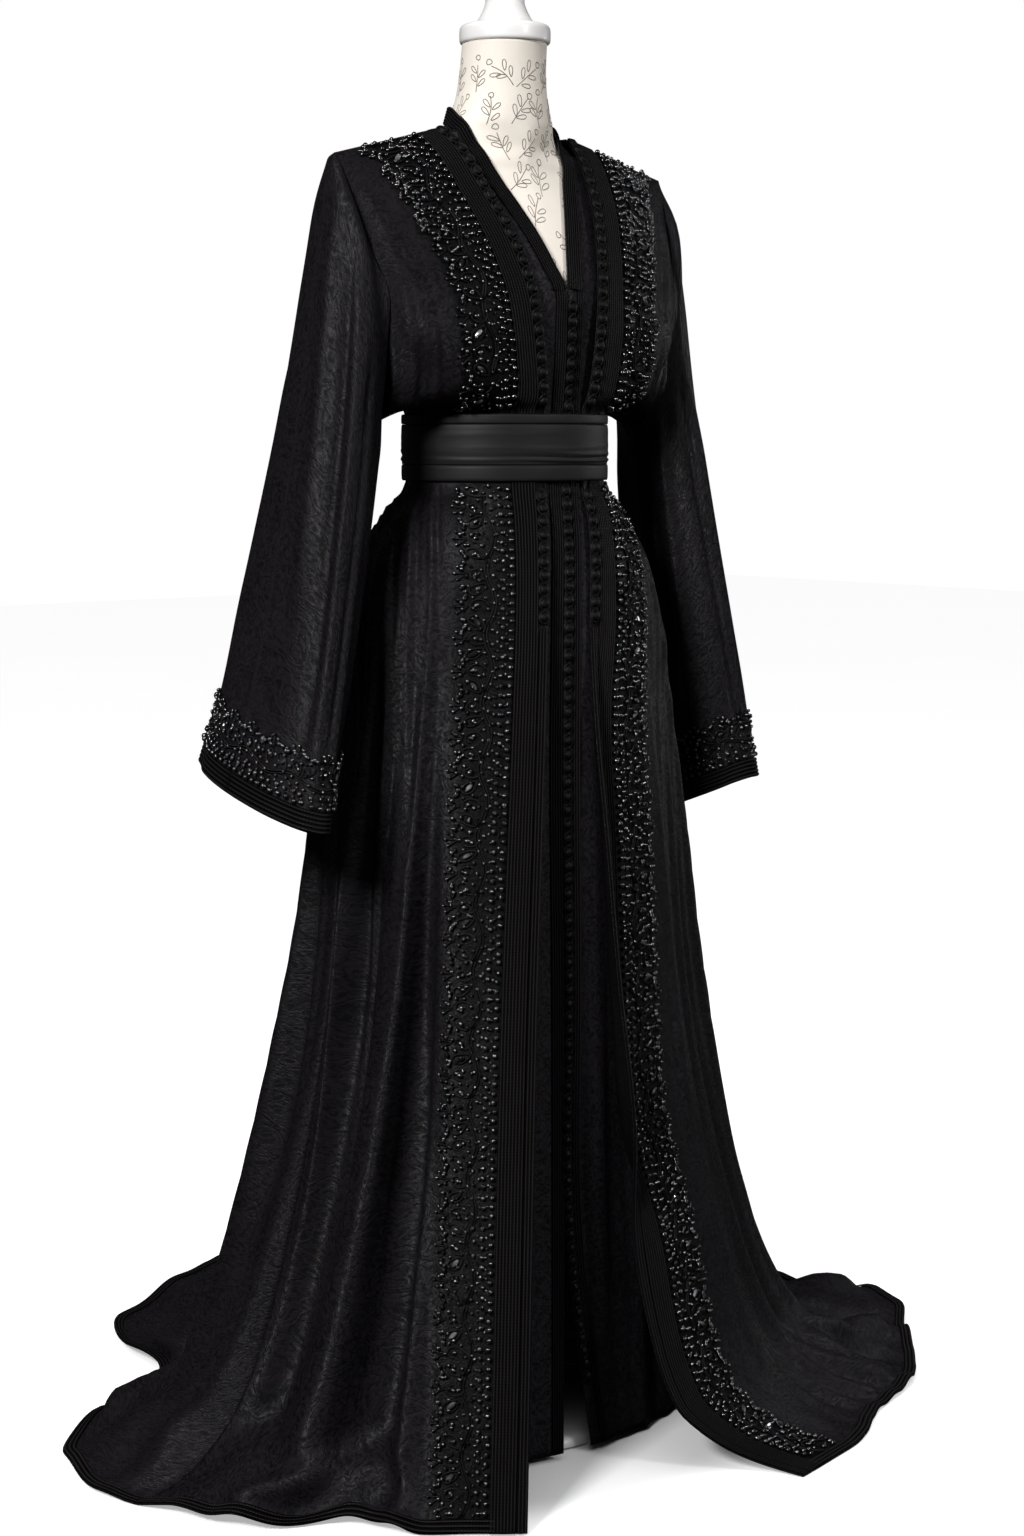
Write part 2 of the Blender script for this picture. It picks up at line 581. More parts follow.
def sweep(paths, normals, width, height):
    """Cords: a flattened ring of four points carried along each path (paths, points, 3); points and faces."""
    ring = 4
    tangent = np.gradient(paths, axis=1)
    tangent /= np.maximum(np.linalg.norm(tangent, axis=2, keepdims=True), 1e-9)
    side = np.cross(tangent, normals)
    side /= np.maximum(np.linalg.norm(side, axis=2, keepdims=True), 1e-9)
    up = np.cross(side, tangent)
    a = np.arange(ring) * 2 * np.pi / ring
    width, height = (np.broadcast_to(w, paths.shape[:2])[:, :, None, None] for w in (width, height))
    points = (paths[:, :, None] + side[:, :, None] * np.cos(a)[:, None] * width
              + up[:, :, None] * np.sin(a)[:, None] * height)
    count, steps = paths.shape[:2]
    one = np.concatenate([grid_faces(steps, ring, True), end_caps(steps, ring)])
    one = oriented(points[0], one, points[0] - paths[0][:, None], (steps - 1) * ring)
    faces = (one[None] + (np.arange(count) * steps * ring)[:, None, None]).reshape(-1, 4)
    return points.reshape(-1, 3), faces


def lathe(name, profile, segments, material):
    """A turned solid: the profile (radius, height) goes round the pole, and flat caps close its ends."""
    profile = np.asarray(profile, float)
    a = np.arange(segments) * 2 * np.pi / segments
    ring = stack(profile[:, 0:1] * np.cos(a), profile[:, 0:1] * np.sin(a), profile[:, 1:2])
    points, faces = tube_mesh(ring)
    return make_mesh(name, points, faces, material)


def rounded(profile, steps=4):
    """A profile with each corner cut by a smooth curve through its neighbours' middles."""
    p = np.asarray(profile, float)
    t = np.linspace(0, 1, steps + 1)[:, None]
    out = [p[:1]]
    for i in range(1, len(p) - 1):
        a, b = p[i] + (p[i - 1] - p[i]) * 0.35, p[i] + (p[i + 1] - p[i]) * 0.35
        out.append(a * (1 - t) ** 2 + p[i] * 2 * t * (1 - t) + b * t**2)
    return np.concatenate([*out, p[-1:]])


# ------------------------------------------------------------------ cloth surfaces
def smooth_step(low, high, x):
    t = np.clip((x - low) / (high - low), 0, 1)
    return t * t * (3 - 2 * t)


def crease_line(u, z, start, end, width, depth):
    """A soft fold along a line in the plane of share across and height: depth times a bell of the distance."""
    scale = np.array([220.0, 1.0])
    a, b = np.array(start) * scale, np.array(end) * scale
    p = np.stack(np.broadcast_arrays(u * scale[0], z), -1)
    d = b - a
    t = np.clip(((p - a) @ d) / (d @ d), 0, 1)
    away = np.linalg.norm(p - a - t[..., None] * d, axis=-1)
    return depth * bell(away / width) * np.sin(np.pi * np.clip(t, 0.02, 0.98)) ** 0.5


BODICE_CREASES = [  # share across, height at both ends; width and depth
    ((0.97, 1300), (0.62, 1207), 9, -6), ((0.99, 1262), (0.78, 1205), 8, 5), ((0.9, 1352), (0.55, 1214), 10, 5),
    ((0.82, 1398), (0.66, 1290), 14, -5), ((1.0, 1222), (0.9, 1204), 6, -4), ((0.72, 1262), (0.5, 1206), 7, -4),
    ((0.93, 1440), (0.8, 1330), 12, 4), ((0.62, 1300), (0.46, 1208), 8, 4),
]
SKIRT_CREASES = [  # turn at the belt and at the hem, height where it starts, width at the hem in degrees, depth
    (-50, -57, 820, 3.6, 9), (-56, -66, 1090, 4.2, -13), (-63, -77, 1100, 3.6, 14), (-71, -88, 1000, 4.6, -14),
    (-80, -99, 1095, 3.8, 15), (-90, -111, 960, 4.6, -13), (-102, -125, 1090, 4.2, 15), (-116, -138, 900, 4.6, -11),
    (-132, -150, 1060, 4.4, 13), (-150, -162, 960, 5.0, -9), (-167, -173, 1060, 4.6, 11), (172, 176, 1080, 5.0, 10),
    (152, 162, 940, 5.0, -9), (134, 146, 1080, 4.6, 12), (118, 130, 900, 4.6, -11), (104, 115, 1080, 4.0, 14),
    (92, 103, 1000, 3.6, -12), (81, 92, 1080, 3.4, 14), (71, 82, 940, 3.4, -12), (61, 71, 1060, 3.4, 12),
    (52, 61, 860, 3.2, -8),
]
TRAIN_SHARE = 2.6


def creases(side, front, s, whole, z, angle):
    """Height of the outer gown's folds over its panels, in mm.

    They are gathers at the belt, drape on the bodice, long folds and ripples in the skirt, ridges that run out over
    the train, and a soft ripple on the train's left.
    """
    size = bpy.context.scene.gown_sizes.fold_depth
    free = smooth_step(114, 146, s) if front else 1.0
    phase = 1.7 if side > 0 else 0.4
    below, above = SKIRT_TOP - z, z - BODICE_FOOT
    near = np.where(below > 0, np.exp(-below / 150) * (1 - np.exp(-np.maximum(below, 0) / 14)), 0)
    near = near + np.where(above > 0, np.exp(-above / 56) * (1 - np.exp(-np.maximum(above, 0) / 12)), 0)
    gathers = 4.6 * near * (np.sin(s / 3.6 + phase + np.sin(s / 17)) + 0.5 * np.sin(s / 2.1 + 2 * phase))
    hang = smooth_step(1060, 700, z)
    ripple = hang * (1.6 * np.sin(angle / 2.3 + phase + 0.004 * z) + 1.1 * np.sin(angle / 1.25 - 0.006 * z + phase))
    fall = np.clip((SKIRT_TOP - z) / SKIRT_TOP, 0, 1)
    for top_turn, hem_turn, start, width, depth in SKIRT_CREASES:
        grown = smooth_step(start, start - 620, z)
        away = wrapped(angle - mix(top_turn, hem_turn, fall)) / (width * (0.55 + 0.45 * fall))
        tall = 1.7 if depth > 0 else 1.35
        ripple = ripple + tall * depth * grown * (bell(away) - 0.4 * bell((away - 1.7) / 0.8))
    if front:
        u = s / np.maximum(whole, 1)
        drape = sum(crease_line(u, z, *row) for row in BODICE_CREASES)
    else:
        drape = 3 * smooth_step(1190, 1300, z) * smooth_step(1440, 1330, z) * np.sin(s / 19 + 1)
    floor = smooth_step(95, 14, z)
    train = 1.5
    for top_turn, hem_turn, start, width, depth in SKIRT_CREASES:
        bend = wrapped(angle - hem_turn - 2.5 * np.sin(z / 18 + hem_turn))
        train = train + TRAIN_SHARE * abs(depth) * bell(bend / (1.05 * width)) * (1 if depth > 0 else 0.6)
    offset = (gathers + ripple * (1 - floor) + drape) * free
    train = train + 5 * (1 + np.sin(angle * 1.1 + 2.2 * np.sin(angle / 9))) * smooth_step(30, 55, angle)
    edge = 0.45 + 0.55 * smooth_step(2.4, 8, z)
    return size * (offset * (1 - floor) + floor * free * train * edge)


def panel_rows(part, stops):
    """Key rows of an outer panel, the length of each, and distances across: stops(length) gives them for a row."""
    rows = gown_rows(*PANELS[part])
    whole = row_lengths(rows)[:, -1]
    return rows, whole, np.array([stops(w) for w in whole])


def outer_surface(part, at, stops):
    """Points of an outer panel, with its folds, at fractional rows, and their distances across."""
    side, front = PANELS[part]
    rows, whole, where = panel_rows(part, stops)
    points = down(along(rows, where), at, BELT_ROWS)
    s = between_rows(at, where)
    length = between_rows(at, whole[:, None])
    angle = np.degrees(np.arctan2(points[..., 0], -points[..., 1]))
    normals = normals_of(points)
    offset = creases(side, front, s, length, points[..., 2], angle)
    ends = smooth_step(0, 1, (length - s) / np.maximum(14, 0.12 * length))
    points = points + normals * (offset * ends)[..., None]
    points[..., 2] = np.maximum(points[..., 2], HEM_HEIGHT - 0.2)
    return points, s


def front_stops(whole):
    """Even 4 mm steps under the trims, then even shares out to the side seam."""
    end = min(BAND_END + 8, whole - 6)
    free = np.linspace(end, whole, PANEL_COLUMNS - PANEL_FIXED + 1)[1:]
    return np.concatenate([np.linspace(0, end, PANEL_FIXED), free])


def patch_stops(whole):
    return np.minimum(PATCH_ACROSS, whole - 1)


def back_stops(whole):
    return np.linspace(0, whole, BACK_COLUMNS)


def reference_rows(part, spacing, stops=patch_stops, column=11):
    """Fractional rows of a panel, spaced along one of its columns, which lies under the braid on a front."""
    rows, _, where = panel_rows(part, stops)
    return even_rows(along(rows, where), column, spacing, BELT_ROWS)


CACHE = {}


def cached(key, maker):
    if key not in CACHE:
        CACHE[key] = maker()
    return CACHE[key]


def front_patch(side):
    """The trim zone of a front: every 2.5 mm across from its edge and every 3 mm down."""
    def build():
        at, length = reference_rows(SIDE_NAMES[side], PATCH_ROW)
        points, _ = outer_surface(SIDE_NAMES[side], at, patch_stops)
        return Patch(points, PATCH_ACROSS, length, rows=at)
    return cached(("front", side), build)


def row_length(patch, row):
    """Distance down a patch at a fractional key row."""
    return float(np.interp(row, patch.rows, patch.length))


def height_length(patch, column, height):
    """Distance down a patch at which a column passes a height."""
    c = int(np.argmin(np.abs(patch.across - column)))
    z = patch.points[:, c, 2]
    return float(np.interp(-height, -z, patch.length))


def panel_grid(part):
    """Panel points, distances across and distances down: a row every 9 mm on the fronts and 12 mm on the back."""
    def build():
        if part == "back":
            at, length = reference_rows("back_left", BACK_ROW, back_stops, 30)
            left, s = outer_surface("back_left", at, back_stops)
            right, _ = outer_surface("back_right", at, back_stops)
            points = np.concatenate([right[:, ::-1], left[:, 1:]], 1)
            across = np.concatenate([-s[:, ::-1], s[:, 1:]], 1)
        else:
            at, length = reference_rows(part, FRONT_ROW)
            points, across = outer_surface(part, at, front_stops)
        return points, across, length
    return cached(("panel", part), build)


def foot_strip(points, normals, rows, reach, steps, wrap=False):
    """Patch along a grid's foot, made from its last rows: it runs up from the hem, and its length goes along it."""
    foot, lift = points[-rows:][::-1], normals[-rows:][::-1]
    step = np.linalg.norm(np.diff(foot, axis=0), axis=2)
    run = np.concatenate([np.zeros((1, foot.shape[1])), np.cumsum(step, 0)])
    across = np.linspace(0, reach, steps)
    both = np.empty((2, foot.shape[1], steps, 3))
    for c in range(foot.shape[1]):
        for axis in range(3):
            both[0, c, :, axis] = np.interp(across, run[:, c], foot[:, c, axis])
            both[1, c, :, axis] = np.interp(across, run[:, c], lift[:, c, axis])
    if wrap:
        both = np.concatenate([both, both[:, :1]], 1)
    return Patch(both[0], across, line_length(both[0, :, 0]), both[1])


def hem_patch(part):
    """Where the hem braid lies: across is the distance up from the hem, length is the distance along it."""
    points = panel_grid(part)[0]
    return foot_strip(points, normals_of(points), HEM_ROWS, HEM_REACH, HEM_STEPS)


def seam_stops(whole):
    return np.array([whole - 2, whole])


def armhole_ring(side, columns):
    """The edge of the armhole: down the front panel's last column, then up the back's."""
    half = columns // 2
    at_front = np.linspace(0, ARMHOLE_ROW, half + 1)
    at_back = np.linspace(ARMHOLE_ROW, 0, half + 1)[1:-1]
    front, _ = outer_surface(SIDE_NAMES[side], at_front, seam_stops)
    back, _ = outer_surface("back_" + SIDE_NAMES[side], at_back, seam_stops)
    ring = np.concatenate([front[:, 1], back[:, 1]])
    ring[:, 0] += side * 0.9
    ring[0, 1] = ring[half, 1] = 0
    return ring


SLEEVE_SOFT = [  # degrees round, width, depth, start and end as shares of the length, drift in degrees
    (18, 9, 6, 0.02, 0.75, 14), (44, 7, -7, 0.06, 0.95, 12), (66, 7, 5, 0.2, 1.0, -6), (92, 8, -6, 0.1, 1.0, -12),
    (128, 9, 7, 0.05, 0.95, 16), (158, 8, -6, 0.15, 0.8, -8), (205, 9, 5, 0.1, 0.9, 10),
    (236, 10, -6, 0.05, 1.0, -10), (282, 9, 6, 0.1, 0.9, 12), (322, 9, -6, 0.05, 0.9, -10),
]


def sleeve_grid(side):
    """Sleeve points: rings from the armhole through the stations, joined by cubics, with soft long folds."""
    def build():
        rows = SLEEVE_LEFT if side > 0 else SLEEVE_RIGHT
        share = np.arange(SLEEVE_COLUMNS) / SLEEVE_COLUMNS
        angle, degrees = share * 2 * np.pi, share * 360
        rings = [armhole_ring(side, SLEEVE_COLUMNS)]
        for i in range(len(rows["station"])):
            outer_x, outer_z, inner_x, inner_z, half, fall = (rows[n][i] for n in SLEEVE_NAMES.split()[1:])
            swell = sum(depth * bell(wrapped(degrees - at) / width) for at, width, depth in SLEEVE_FOLDS)
            swell = swell * (half - 60) / 50
            across, forward = (1 + np.cos(angle)) / 2, np.sin(angle)
            x = mix(inner_x, outer_x, across) + swell * np.cos(angle)
            rings.append(stack(side * x, -(half + swell) * forward, mix(inner_z, outer_z, across) - fall * forward))
        keys = np.array(rings)
        at, length = even_rows(keys, SLEEVE_COLUMNS // 4, SLEEVE_ROW)
        points = down(keys, at)
        normals = normals_of(points, True, points.mean(1, keepdims=True))
        t = (length / length[-1])[:, None]
        size = bpy.context.scene.gown_sizes.fold_depth
        offset = 0
        for centre, width, depth, start, end, drift in SLEEVE_SOFT:
            turn = wrapped(degrees[None, :] - centre - drift * t - (0 if side < 0 else 11))
            run = smooth_step(start, start + 0.18, t) * (1 - 0.75 * smooth_step(end - 0.25, end, t))
            offset = offset + depth * bell(turn / width) * run
        points = points + normals * (offset * size)[..., None]
        return points, normals_of(points, True, points.mean(1, keepdims=True)), length
    return cached(("sleeve", side), build)


def cuff_patch(side):
    """The foot of a sleeve: across is the distance up from its hem, length is the distance round it."""
    points, normals, _ = sleeve_grid(side)
    return foot_strip(points, normals, CUFF_ROWS, CUFF_REACH, CUFF_STEPS, True)


def form_point(angle, height):
    """Dress form: a superellipse at each height."""
    values = [read(FORM, n, height) for n in ("side", "front", "back", "round")]
    return polar(angle, section_radius(angle, *values), height)


def form_normal(angle, height):
    """Unit normal of the dress form."""
    around = form_point(angle + 1, height) - form_point(angle - 1, height)
    upward = form_point(angle, height + 1) - form_point(angle, height - 1)
    normal = np.cross(around, upward)
    return normal / np.linalg.norm(normal, axis=-1, keepdims=True)


def under_point(angle, height):
    """Under-gown: the form moved out by an ease down to the waist, then its own cone."""
    angle = np.asarray(angle, float)
    if height >= UNDER_BODICE_FOOT:
        ease = float(read(UNDER_EASE, "ease", height))
        return form_point(angle, height) + form_normal(angle, height) * (ease + CLOTH)
    row = [read(UNDER_SKIRT, n, height) for n in ("side", "front", "back")]
    return polar(angle, section_radius(angle, *row), height)


def under_front_angle(side, height):
    """Turn at which the under-gown's front starts: its neckline above, its centre line below."""
    if height > 1264:
        turns = np.linspace(0, 88, 600)
        x = under_point(turns, height)[:, 0]
        return side * max(0.2, float(np.interp(read(UNDER_NECK, "x", height), np.maximum.accumulate(x), turns)))
    x = float(read(UNDER_CENTRE, "x", height))
    middle = math.degrees(math.atan2(x, -under_point(0, height)[1]))
    slit = SLIT_WIDTH * (1 - height / SLIT_TOP) if side > 0 and height < SLIT_TOP else 0
    return middle + side * (0.1 + slit)


def under_side_angle(height):
    """Turn of the under-gown's side seam; the armhole cuts a half ellipse out of it."""
    if height <= ARMHOLE_BOTTOM or height >= ARMHOLE_TOP:
        return 90.0
    t = (height - ARMHOLE_BOTTOM) / (ARMHOLE_TOP - ARMHOLE_BOTTOM)
    return 90 - ARMHOLE_CUT * math.sqrt(4 * t * (1 - t))


def under_rows(part):
    """Key rows of an under-gown panel, each finely sampled along its turn."""
    t = np.linspace(0, 1, 241)
    rows = []
    for height in UNDER_ROWS:
        if part == "back":
            seam = 180 - under_side_angle(height)
            turn = np.concatenate([np.linspace(-seam, -180, 121), np.linspace(180, seam, 121)[1:]])
        else:
            side = 1 if part == "left" else -1
            turn = mix(under_front_angle(side, height), side * under_side_angle(height), t)
        rows.append(under_point(turn, height))
    return np.array(rows)


def under_grid(part, across=None, spacing=UNDER_ROW):
    """Under-gown panel: points, distances across, distances down and fractional rows.

    Without distances across it is the whole panel; with them, a strip from its front edge. Below the waist the
    fronts have narrow upright folds.
    """
    rows = under_rows(part)
    whole = row_lengths(rows)[:, -1]
    if across is None:
        where = np.array([np.linspace(0, w, UNDER_COLUMNS) for w in whole])
    else:
        where = np.array([np.minimum(across, w) for w in whole])
    keys = along(rows, where)
    at, length = even_rows(keys, min(6, where.shape[1] - 1), spacing)
    points = down(keys, at)
    s = between_rows(at, where)
    if part != "back":
        z, side = points[..., 2], 1 if part == "left" else -1
        angle = np.degrees(np.arctan2(points[..., 0], -points[..., 1]))
        free = smooth_step(24, 60, s) * smooth_step(1100, 800, z)
        fold = 3.0 * np.sin(angle / 3.4 + side) + 2.0 * np.sin(angle / 1.9 + 0.003 * z)
        points = points + normals_of(points) * (bpy.context.scene.gown_sizes.fold_depth * free * fold)[..., None]
    return points, s, length, at


def under_patch(side):
    """The under-gown's trim zone beside its centre line."""
    def build():
        points, _, length, at = under_grid(SIDE_NAMES[side], UNDER_ACROSS, PATCH_ROW)
        return Patch(points, UNDER_ACROSS, length, rows=at)
    return cached(("under", side), build)


# ------------------------------------------------------------------ materials
class Field:
    """A node's output in an expression: arithmetic on it adds Math nodes."""

    def __init__(self, finish, socket):
        self.finish, self.socket = finish, socket

    def math(self, operation, *values):
        return self.finish.field("ShaderNodeMath", {"operation": operation}, dict(enumerate((self, *values))))

    def __add__(self, other):
        return self.math("ADD", other)

    def __mul__(self, other):
        return self.math("MULTIPLY", other)

    def __sub__(self, other):
        return self.math("SUBTRACT", other)

    def __rsub__(self, other):
        return self * -1.0 + other

    __radd__, __rmul__ = __add__, __mul__

    def smooth(self, low, high):
        values = {"Value": self, "From Min": low, "From Max": high}
        return self.finish.field("ShaderNodeMapRange", {"interpolation_type": "SMOOTHSTEP"}, values)


class Finish:
    """A material around one Principled shader; node() makes any other node."""

    def __init__(self, name, color, roughness, **constants):
        self.material = bpy.data.materials.new(name)
        self.material.use_nodes = True
        self.tree = self.material.node_tree
        self.shader = self.tree.nodes["Principled BSDF"]
        self.shader.inputs["Base Color"].default_value = (*color, 1)
        self.shader.inputs["Roughness"].default_value = roughness
        for name_, value in constants.items():
            self.shader.inputs[name_.replace("_", " ")].default_value = value
        self.material.diffuse_color = (*color, 1)

    def node(self, kind, settings=None, values=None):
        node = self.tree.nodes.new(kind)
        for name, value in (settings or {}).items():
            setattr(node, name, value)
        for key, value in (values or {}).items():
            if isinstance(value, Field):
                self.tree.links.new(value.socket, node.inputs[key])
            else:
                node.inputs[key].default_value = value
        return node

    def field(self, kind, settings=None, values=None, output=0):
        return Field(self, self.node(kind, settings, values).outputs[output])

    def feed(self, name, value):
        self.tree.links.new(value.socket, self.shader.inputs[name])

    def place(self, kind="UV", scale=(1, 1, 1)):
        source = self.field("ShaderNodeTexCoord", None, None, kind)
        return self.field("ShaderNodeMapping", None, {"Vector": source, "Scale": scale})

    def part(self, vector, axis):
        return self.field("ShaderNodeSeparateXYZ", None, {0: vector}, axis)

    def noise(self, vector, scale, detail=2.0, distortion=0.0):
        values = {"Vector": vector, "Scale": scale, "Detail": detail, "Distortion": distortion}
        return self.field("ShaderNodeTexNoise", None, values)

    def blend(self, factor, a, b):
        values = {0: factor, 6: (*a, 1) if isinstance(a, tuple) else a, 7: (*b, 1) if isinstance(b, tuple) else b}
        return self.field("ShaderNodeMix", {"data_type": "RGBA"}, values, 2)

    def bump(self, height, strength, distance):
        values = {"Height": height, "Strength": strength, "Distance": distance}
        self.feed("Normal", self.field("ShaderNodeBump", None, values))


def shade(color, factor):
    return tuple(min(1.0, c * factor) for c in color)


def jacquard(name, color, scroll, gloss, faced=0.0):
    """Tone-on-tone jacquard: contour lines of a noise make the small scrolls, a twill and a grain lie under them.

    The figure is smoother than the ground, so it shows where the light glances off the folds. Up to the distance
    faced, in mm from the front edge, the cloth is backed and darker.
    """
    f = Finish(name, color, 0.5, Specular_IOR_Level=0.12)
    uv = f.place()
    warp = f.noise(uv, 3.1, 2.0)
    flow = f.noise(uv, scroll, 1.0, 1.4)
    lines = ((flow * 6.0 + warp).math("FRACT") - 0.5).math("ABSOLUTE").smooth(0.1, 0.34)
    fill = f.noise(uv, scroll * 6.0, 2.0, 0.8).smooth(0.42, 0.58)
    figure = lines * 0.5 + fill * 0.5
    u, v = f.part(uv, 0), f.part(uv, 1)
    twill = ((u + v) * 780.0).math("SINE") * 0.5 + 0.5
    broad = f.noise(uv, 0.9, 2.0)
    tone = figure * 0.75 + broad * 0.35
    if faced:
        tone = tone * (u.smooth(faced / 100 - 0.06, faced / 100 + 0.02) * 0.7 + 0.3)
    f.feed("Base Color", f.blend(tone, shade(color, 0.02), shade(color, 2.6)))
    f.feed("Roughness", figure * -gloss + 0.60 + broad * 0.08)
    f.bump(figure * 0.8 + twill * 0.2, 0.5, 0.0009)
    return f.material


def corded(name, color):
    """Braid: on each rib, 5 mm of u, short stitches meet in a chevron, and the grooves between ribs are darker."""
    f = Finish(name, color, 0.6, Specular_IOR_Level=0.08)
    uv = f.place()
    u, v = f.part(uv, 0), f.part(uv, 1)
    rib = ((u * (100.0 / RIB_UV)).math("FRACT") - 0.5).math("ABSOLUTE")
    crown = 1.0 - rib.smooth(0.08, 0.40)
    stitch = ((v * (100.0 / 3.4) + rib * 1.8).math("FRACT") - 0.5).math("ABSOLUTE").smooth(0.05, 0.4)
    wear = f.noise(uv, 2.2, 3.0)
    tone = crown * (stitch * 0.6 + 0.4) * (wear * 0.5 + 0.7)
    f.feed("Base Color", f.blend(tone, shade(color, 0.02), shade(color, 5.5)))
    f.feed("Roughness", tone * -0.3 + 0.66)
    f.bump(crown + stitch * 0.5, 1.0, 0.0030)
    return f.material


def knot_thread(name, color):
    f = Finish(name, color, 0.5, Specular_IOR_Level=0.16)
    at = f.place("Object")
    grain = f.noise(at, 700.0, 2.0, 0.6)
    f.feed("Base Color", f.blend(grain, shade(color, 0.4), shade(color, 1.8)))
    f.feed("Roughness", grain * 0.3 + 0.38)
    f.bump(grain, 0.6, 0.0006)
    return f.material


def glass_bead(name, color, roughness):
    f = Finish(name, color, roughness, Specular_IOR_Level=0.5, Coat_Weight=1.0, Coat_Roughness=0.05, Coat_IOR=1.9)
    at = f.place("Object")
    cloud = f.noise(at, 60.0, 2.0)
    f.feed("Base Color", f.blend(cloud, shade(color, 0.6), shade(color, 1.5)))
    f.feed("Roughness", cloud * 0.08 + roughness)
    return f.material


def foiled_stone(name, color):
    """Cut stones with foil behind them: smoky on some, clear on others."""
    f = Finish(name, color, 0.12, Metallic=0.8, Specular_IOR_Level=0.7, Coat_Weight=0.6, Coat_Roughness=0.03)
    at = f.place("Object")
    smoke = f.noise(at, 34.0, 1.0).smooth(0.46, 0.66)
    f.feed("Base Color", f.blend(smoke, shade(color, 0.08), color))
    f.feed("Roughness", smoke * 0.2 + 0.08)
    return f.material


def satin(name, color):
    f = Finish(name, color, 0.5, Specular_IOR_Level=0.2)
    slub = f.noise(f.place("UV", (1, 9, 1)), 3.0, 3.0)
    fine = f.noise(f.place("UV", (3, 60, 1)), 12.0, 2.0)
    f.feed("Base Color", f.blend(slub, shade(color, 0.8), shade(color, 1.2)))
    f.feed("Roughness", slub * 0.12 + fine * 0.08 + 0.44)
    f.bump(fine * 0.5 + slub, 0.12, 0.0006)
    return f.material


def linen(name, color):
    """Fine plain weave: two crossed sines, with slubs and a little unevenness of tone."""
    f = Finish(name, color, 0.85, Specular_IOR_Level=0.25)
    uv = f.place()
    u, v = f.part(uv, 0), f.part(uv, 1)
    weave = (u * 520.0).math("SINE") * (v * 520.0).math("SINE") * 0.5 + 0.5
    slub = f.noise(uv, 6.0, 3.0)
    f.feed("Base Color", f.blend(weave * 0.4 + slub * 0.6, shade(color, 0.93), shade(color, 1.05)))
    f.feed("Roughness", slub * 0.1 + 0.78)
    f.bump(weave + slub, 0.2, 0.0004)
    return f.material


def lacquer(name, color):
    f = Finish(name, color, 0.38, Specular_IOR_Level=0.5, Coat_Weight=0.25, Coat_Roughness=0.2)
    at = f.place("Object", (1, 1, 14))
    brush = f.noise(at, 22.0, 3.0)
    f.feed("Base Color", f.blend(brush, shade(color, 0.94), shade(color, 1.03)))
    f.feed("Roughness", brush * 0.16 + 0.3)
    f.bump(brush, 0.15, 0.0005)
    return f.material


def brushed_steel(name, color):
    f = Finish(name, color, 0.35, Metallic=0.9)
    at = f.place("Object", (60, 60, 2))
    grain = f.noise(at, 14.0, 2.0)
    f.feed("Base Color", f.blend(grain, shade(color, 0.8), shade(color, 1.1)))
    f.feed("Roughness", grain * 0.2 + 0.26)
    return f.material


def printed_line(name, color):
    f = Finish(name, color, 0.8, Specular_IOR_Level=0.2)
    ink = f.noise(f.place("Object"), 240.0, 2.0)
    f.feed("Base Color", f.blend(ink, shade(color, 0.7), shade(color, 1.5)))
    return f.material


def finish(name):
    """One material of each kind, made when it is first asked for."""
    c = bpy.context.scene.gown_colours
    makers = {
        "jacquard": lambda n: jacquard(n, tuple(c.cloth), 3.6, 0.30),
        "faced_front": lambda n: jacquard(n, tuple(c.cloth), 3.6, 0.30, BAND_END),
        "under_cloth": lambda n: jacquard(n, tuple(c.under_cloth), 4.4, 0.14),
        "braid": lambda n: corded(n, tuple(c.braid)),
        "knots": lambda n: knot_thread(n, tuple(c.knots)),
        "beads": lambda n: glass_bead(n, tuple(c.beads), 0.07),
        "soutache": lambda n: knot_thread(n, shade(tuple(c.braid), 0.55)),
        "stones": lambda n: foiled_stone(n, tuple(c.stones)),
        "satin": lambda n: satin(n, tuple(c.belt)),
        "linen": lambda n: linen(n, tuple(c.linen)),
        "print": lambda n: printed_line(n, tuple(c.print_line)),
        "lacquer": lambda n: lacquer(n, tuple(c.lacquer)),
        "steel": lambda n: brushed_steel(n, tuple(c.steel)),
    }
    return cached(("material", name), lambda: makers[name]("gown_" + name))


# ------------------------------------------------------------------ settings
class GownSizes(bpy.types.PropertyGroup):
    """Sizes that a user would change, in metres unless a name says otherwise"""
    cloth: FloatProperty(name="Cloth", description="Thickness of the gown's cloth", default=CLOTH * MM,
                         min=0.0005, max=0.004, subtype="DISTANCE", unit="LENGTH", precision=4)
    fold_depth: FloatProperty(name="Fold depth", description="Share of the small folds' own depth", default=1.0,
                              min=0.0, max=2.0, subtype="FACTOR")
    bead: FloatProperty(name="Bead", description="Diameter of a large bead", default=0.0068,
                        min=0.003, max=0.012, subtype="DISTANCE", unit="LENGTH", precision=4)
    bead_pitch: FloatProperty(name="Bead pitch", description="Distance between beads in a row", default=0.0102,
                              min=0.006, max=0.03, subtype="DISTANCE", unit="LENGTH", precision=4)
    button: FloatProperty(name="Button", description="Diameter of a knotted button", default=0.0120,
                          min=0.006, max=0.02, subtype="DISTANCE", unit="LENGTH", precision=4)
    button_pitch: FloatProperty(name="Button pitch", description="Distance between buttons", default=0.0158,
                                min=0.01, max=0.04, subtype="DISTANCE", unit="LENGTH", precision=4)
    motif: FloatProperty(name="Vine repeat", description="Length of one repeat of the beaded vine", default=0.074,
                         min=0.04, max=0.15, subtype="DISTANCE", unit="LENGTH", precision=3)
    ribs: IntProperty(name="Ribs", description="Number of cords across the front braid", default=8, min=3, max=12)


def colour(name, description, value):
    return FloatVectorProperty(name=name, description=description, default=value, size=3, min=0.0, max=1.0,
                               subtype="COLOR")


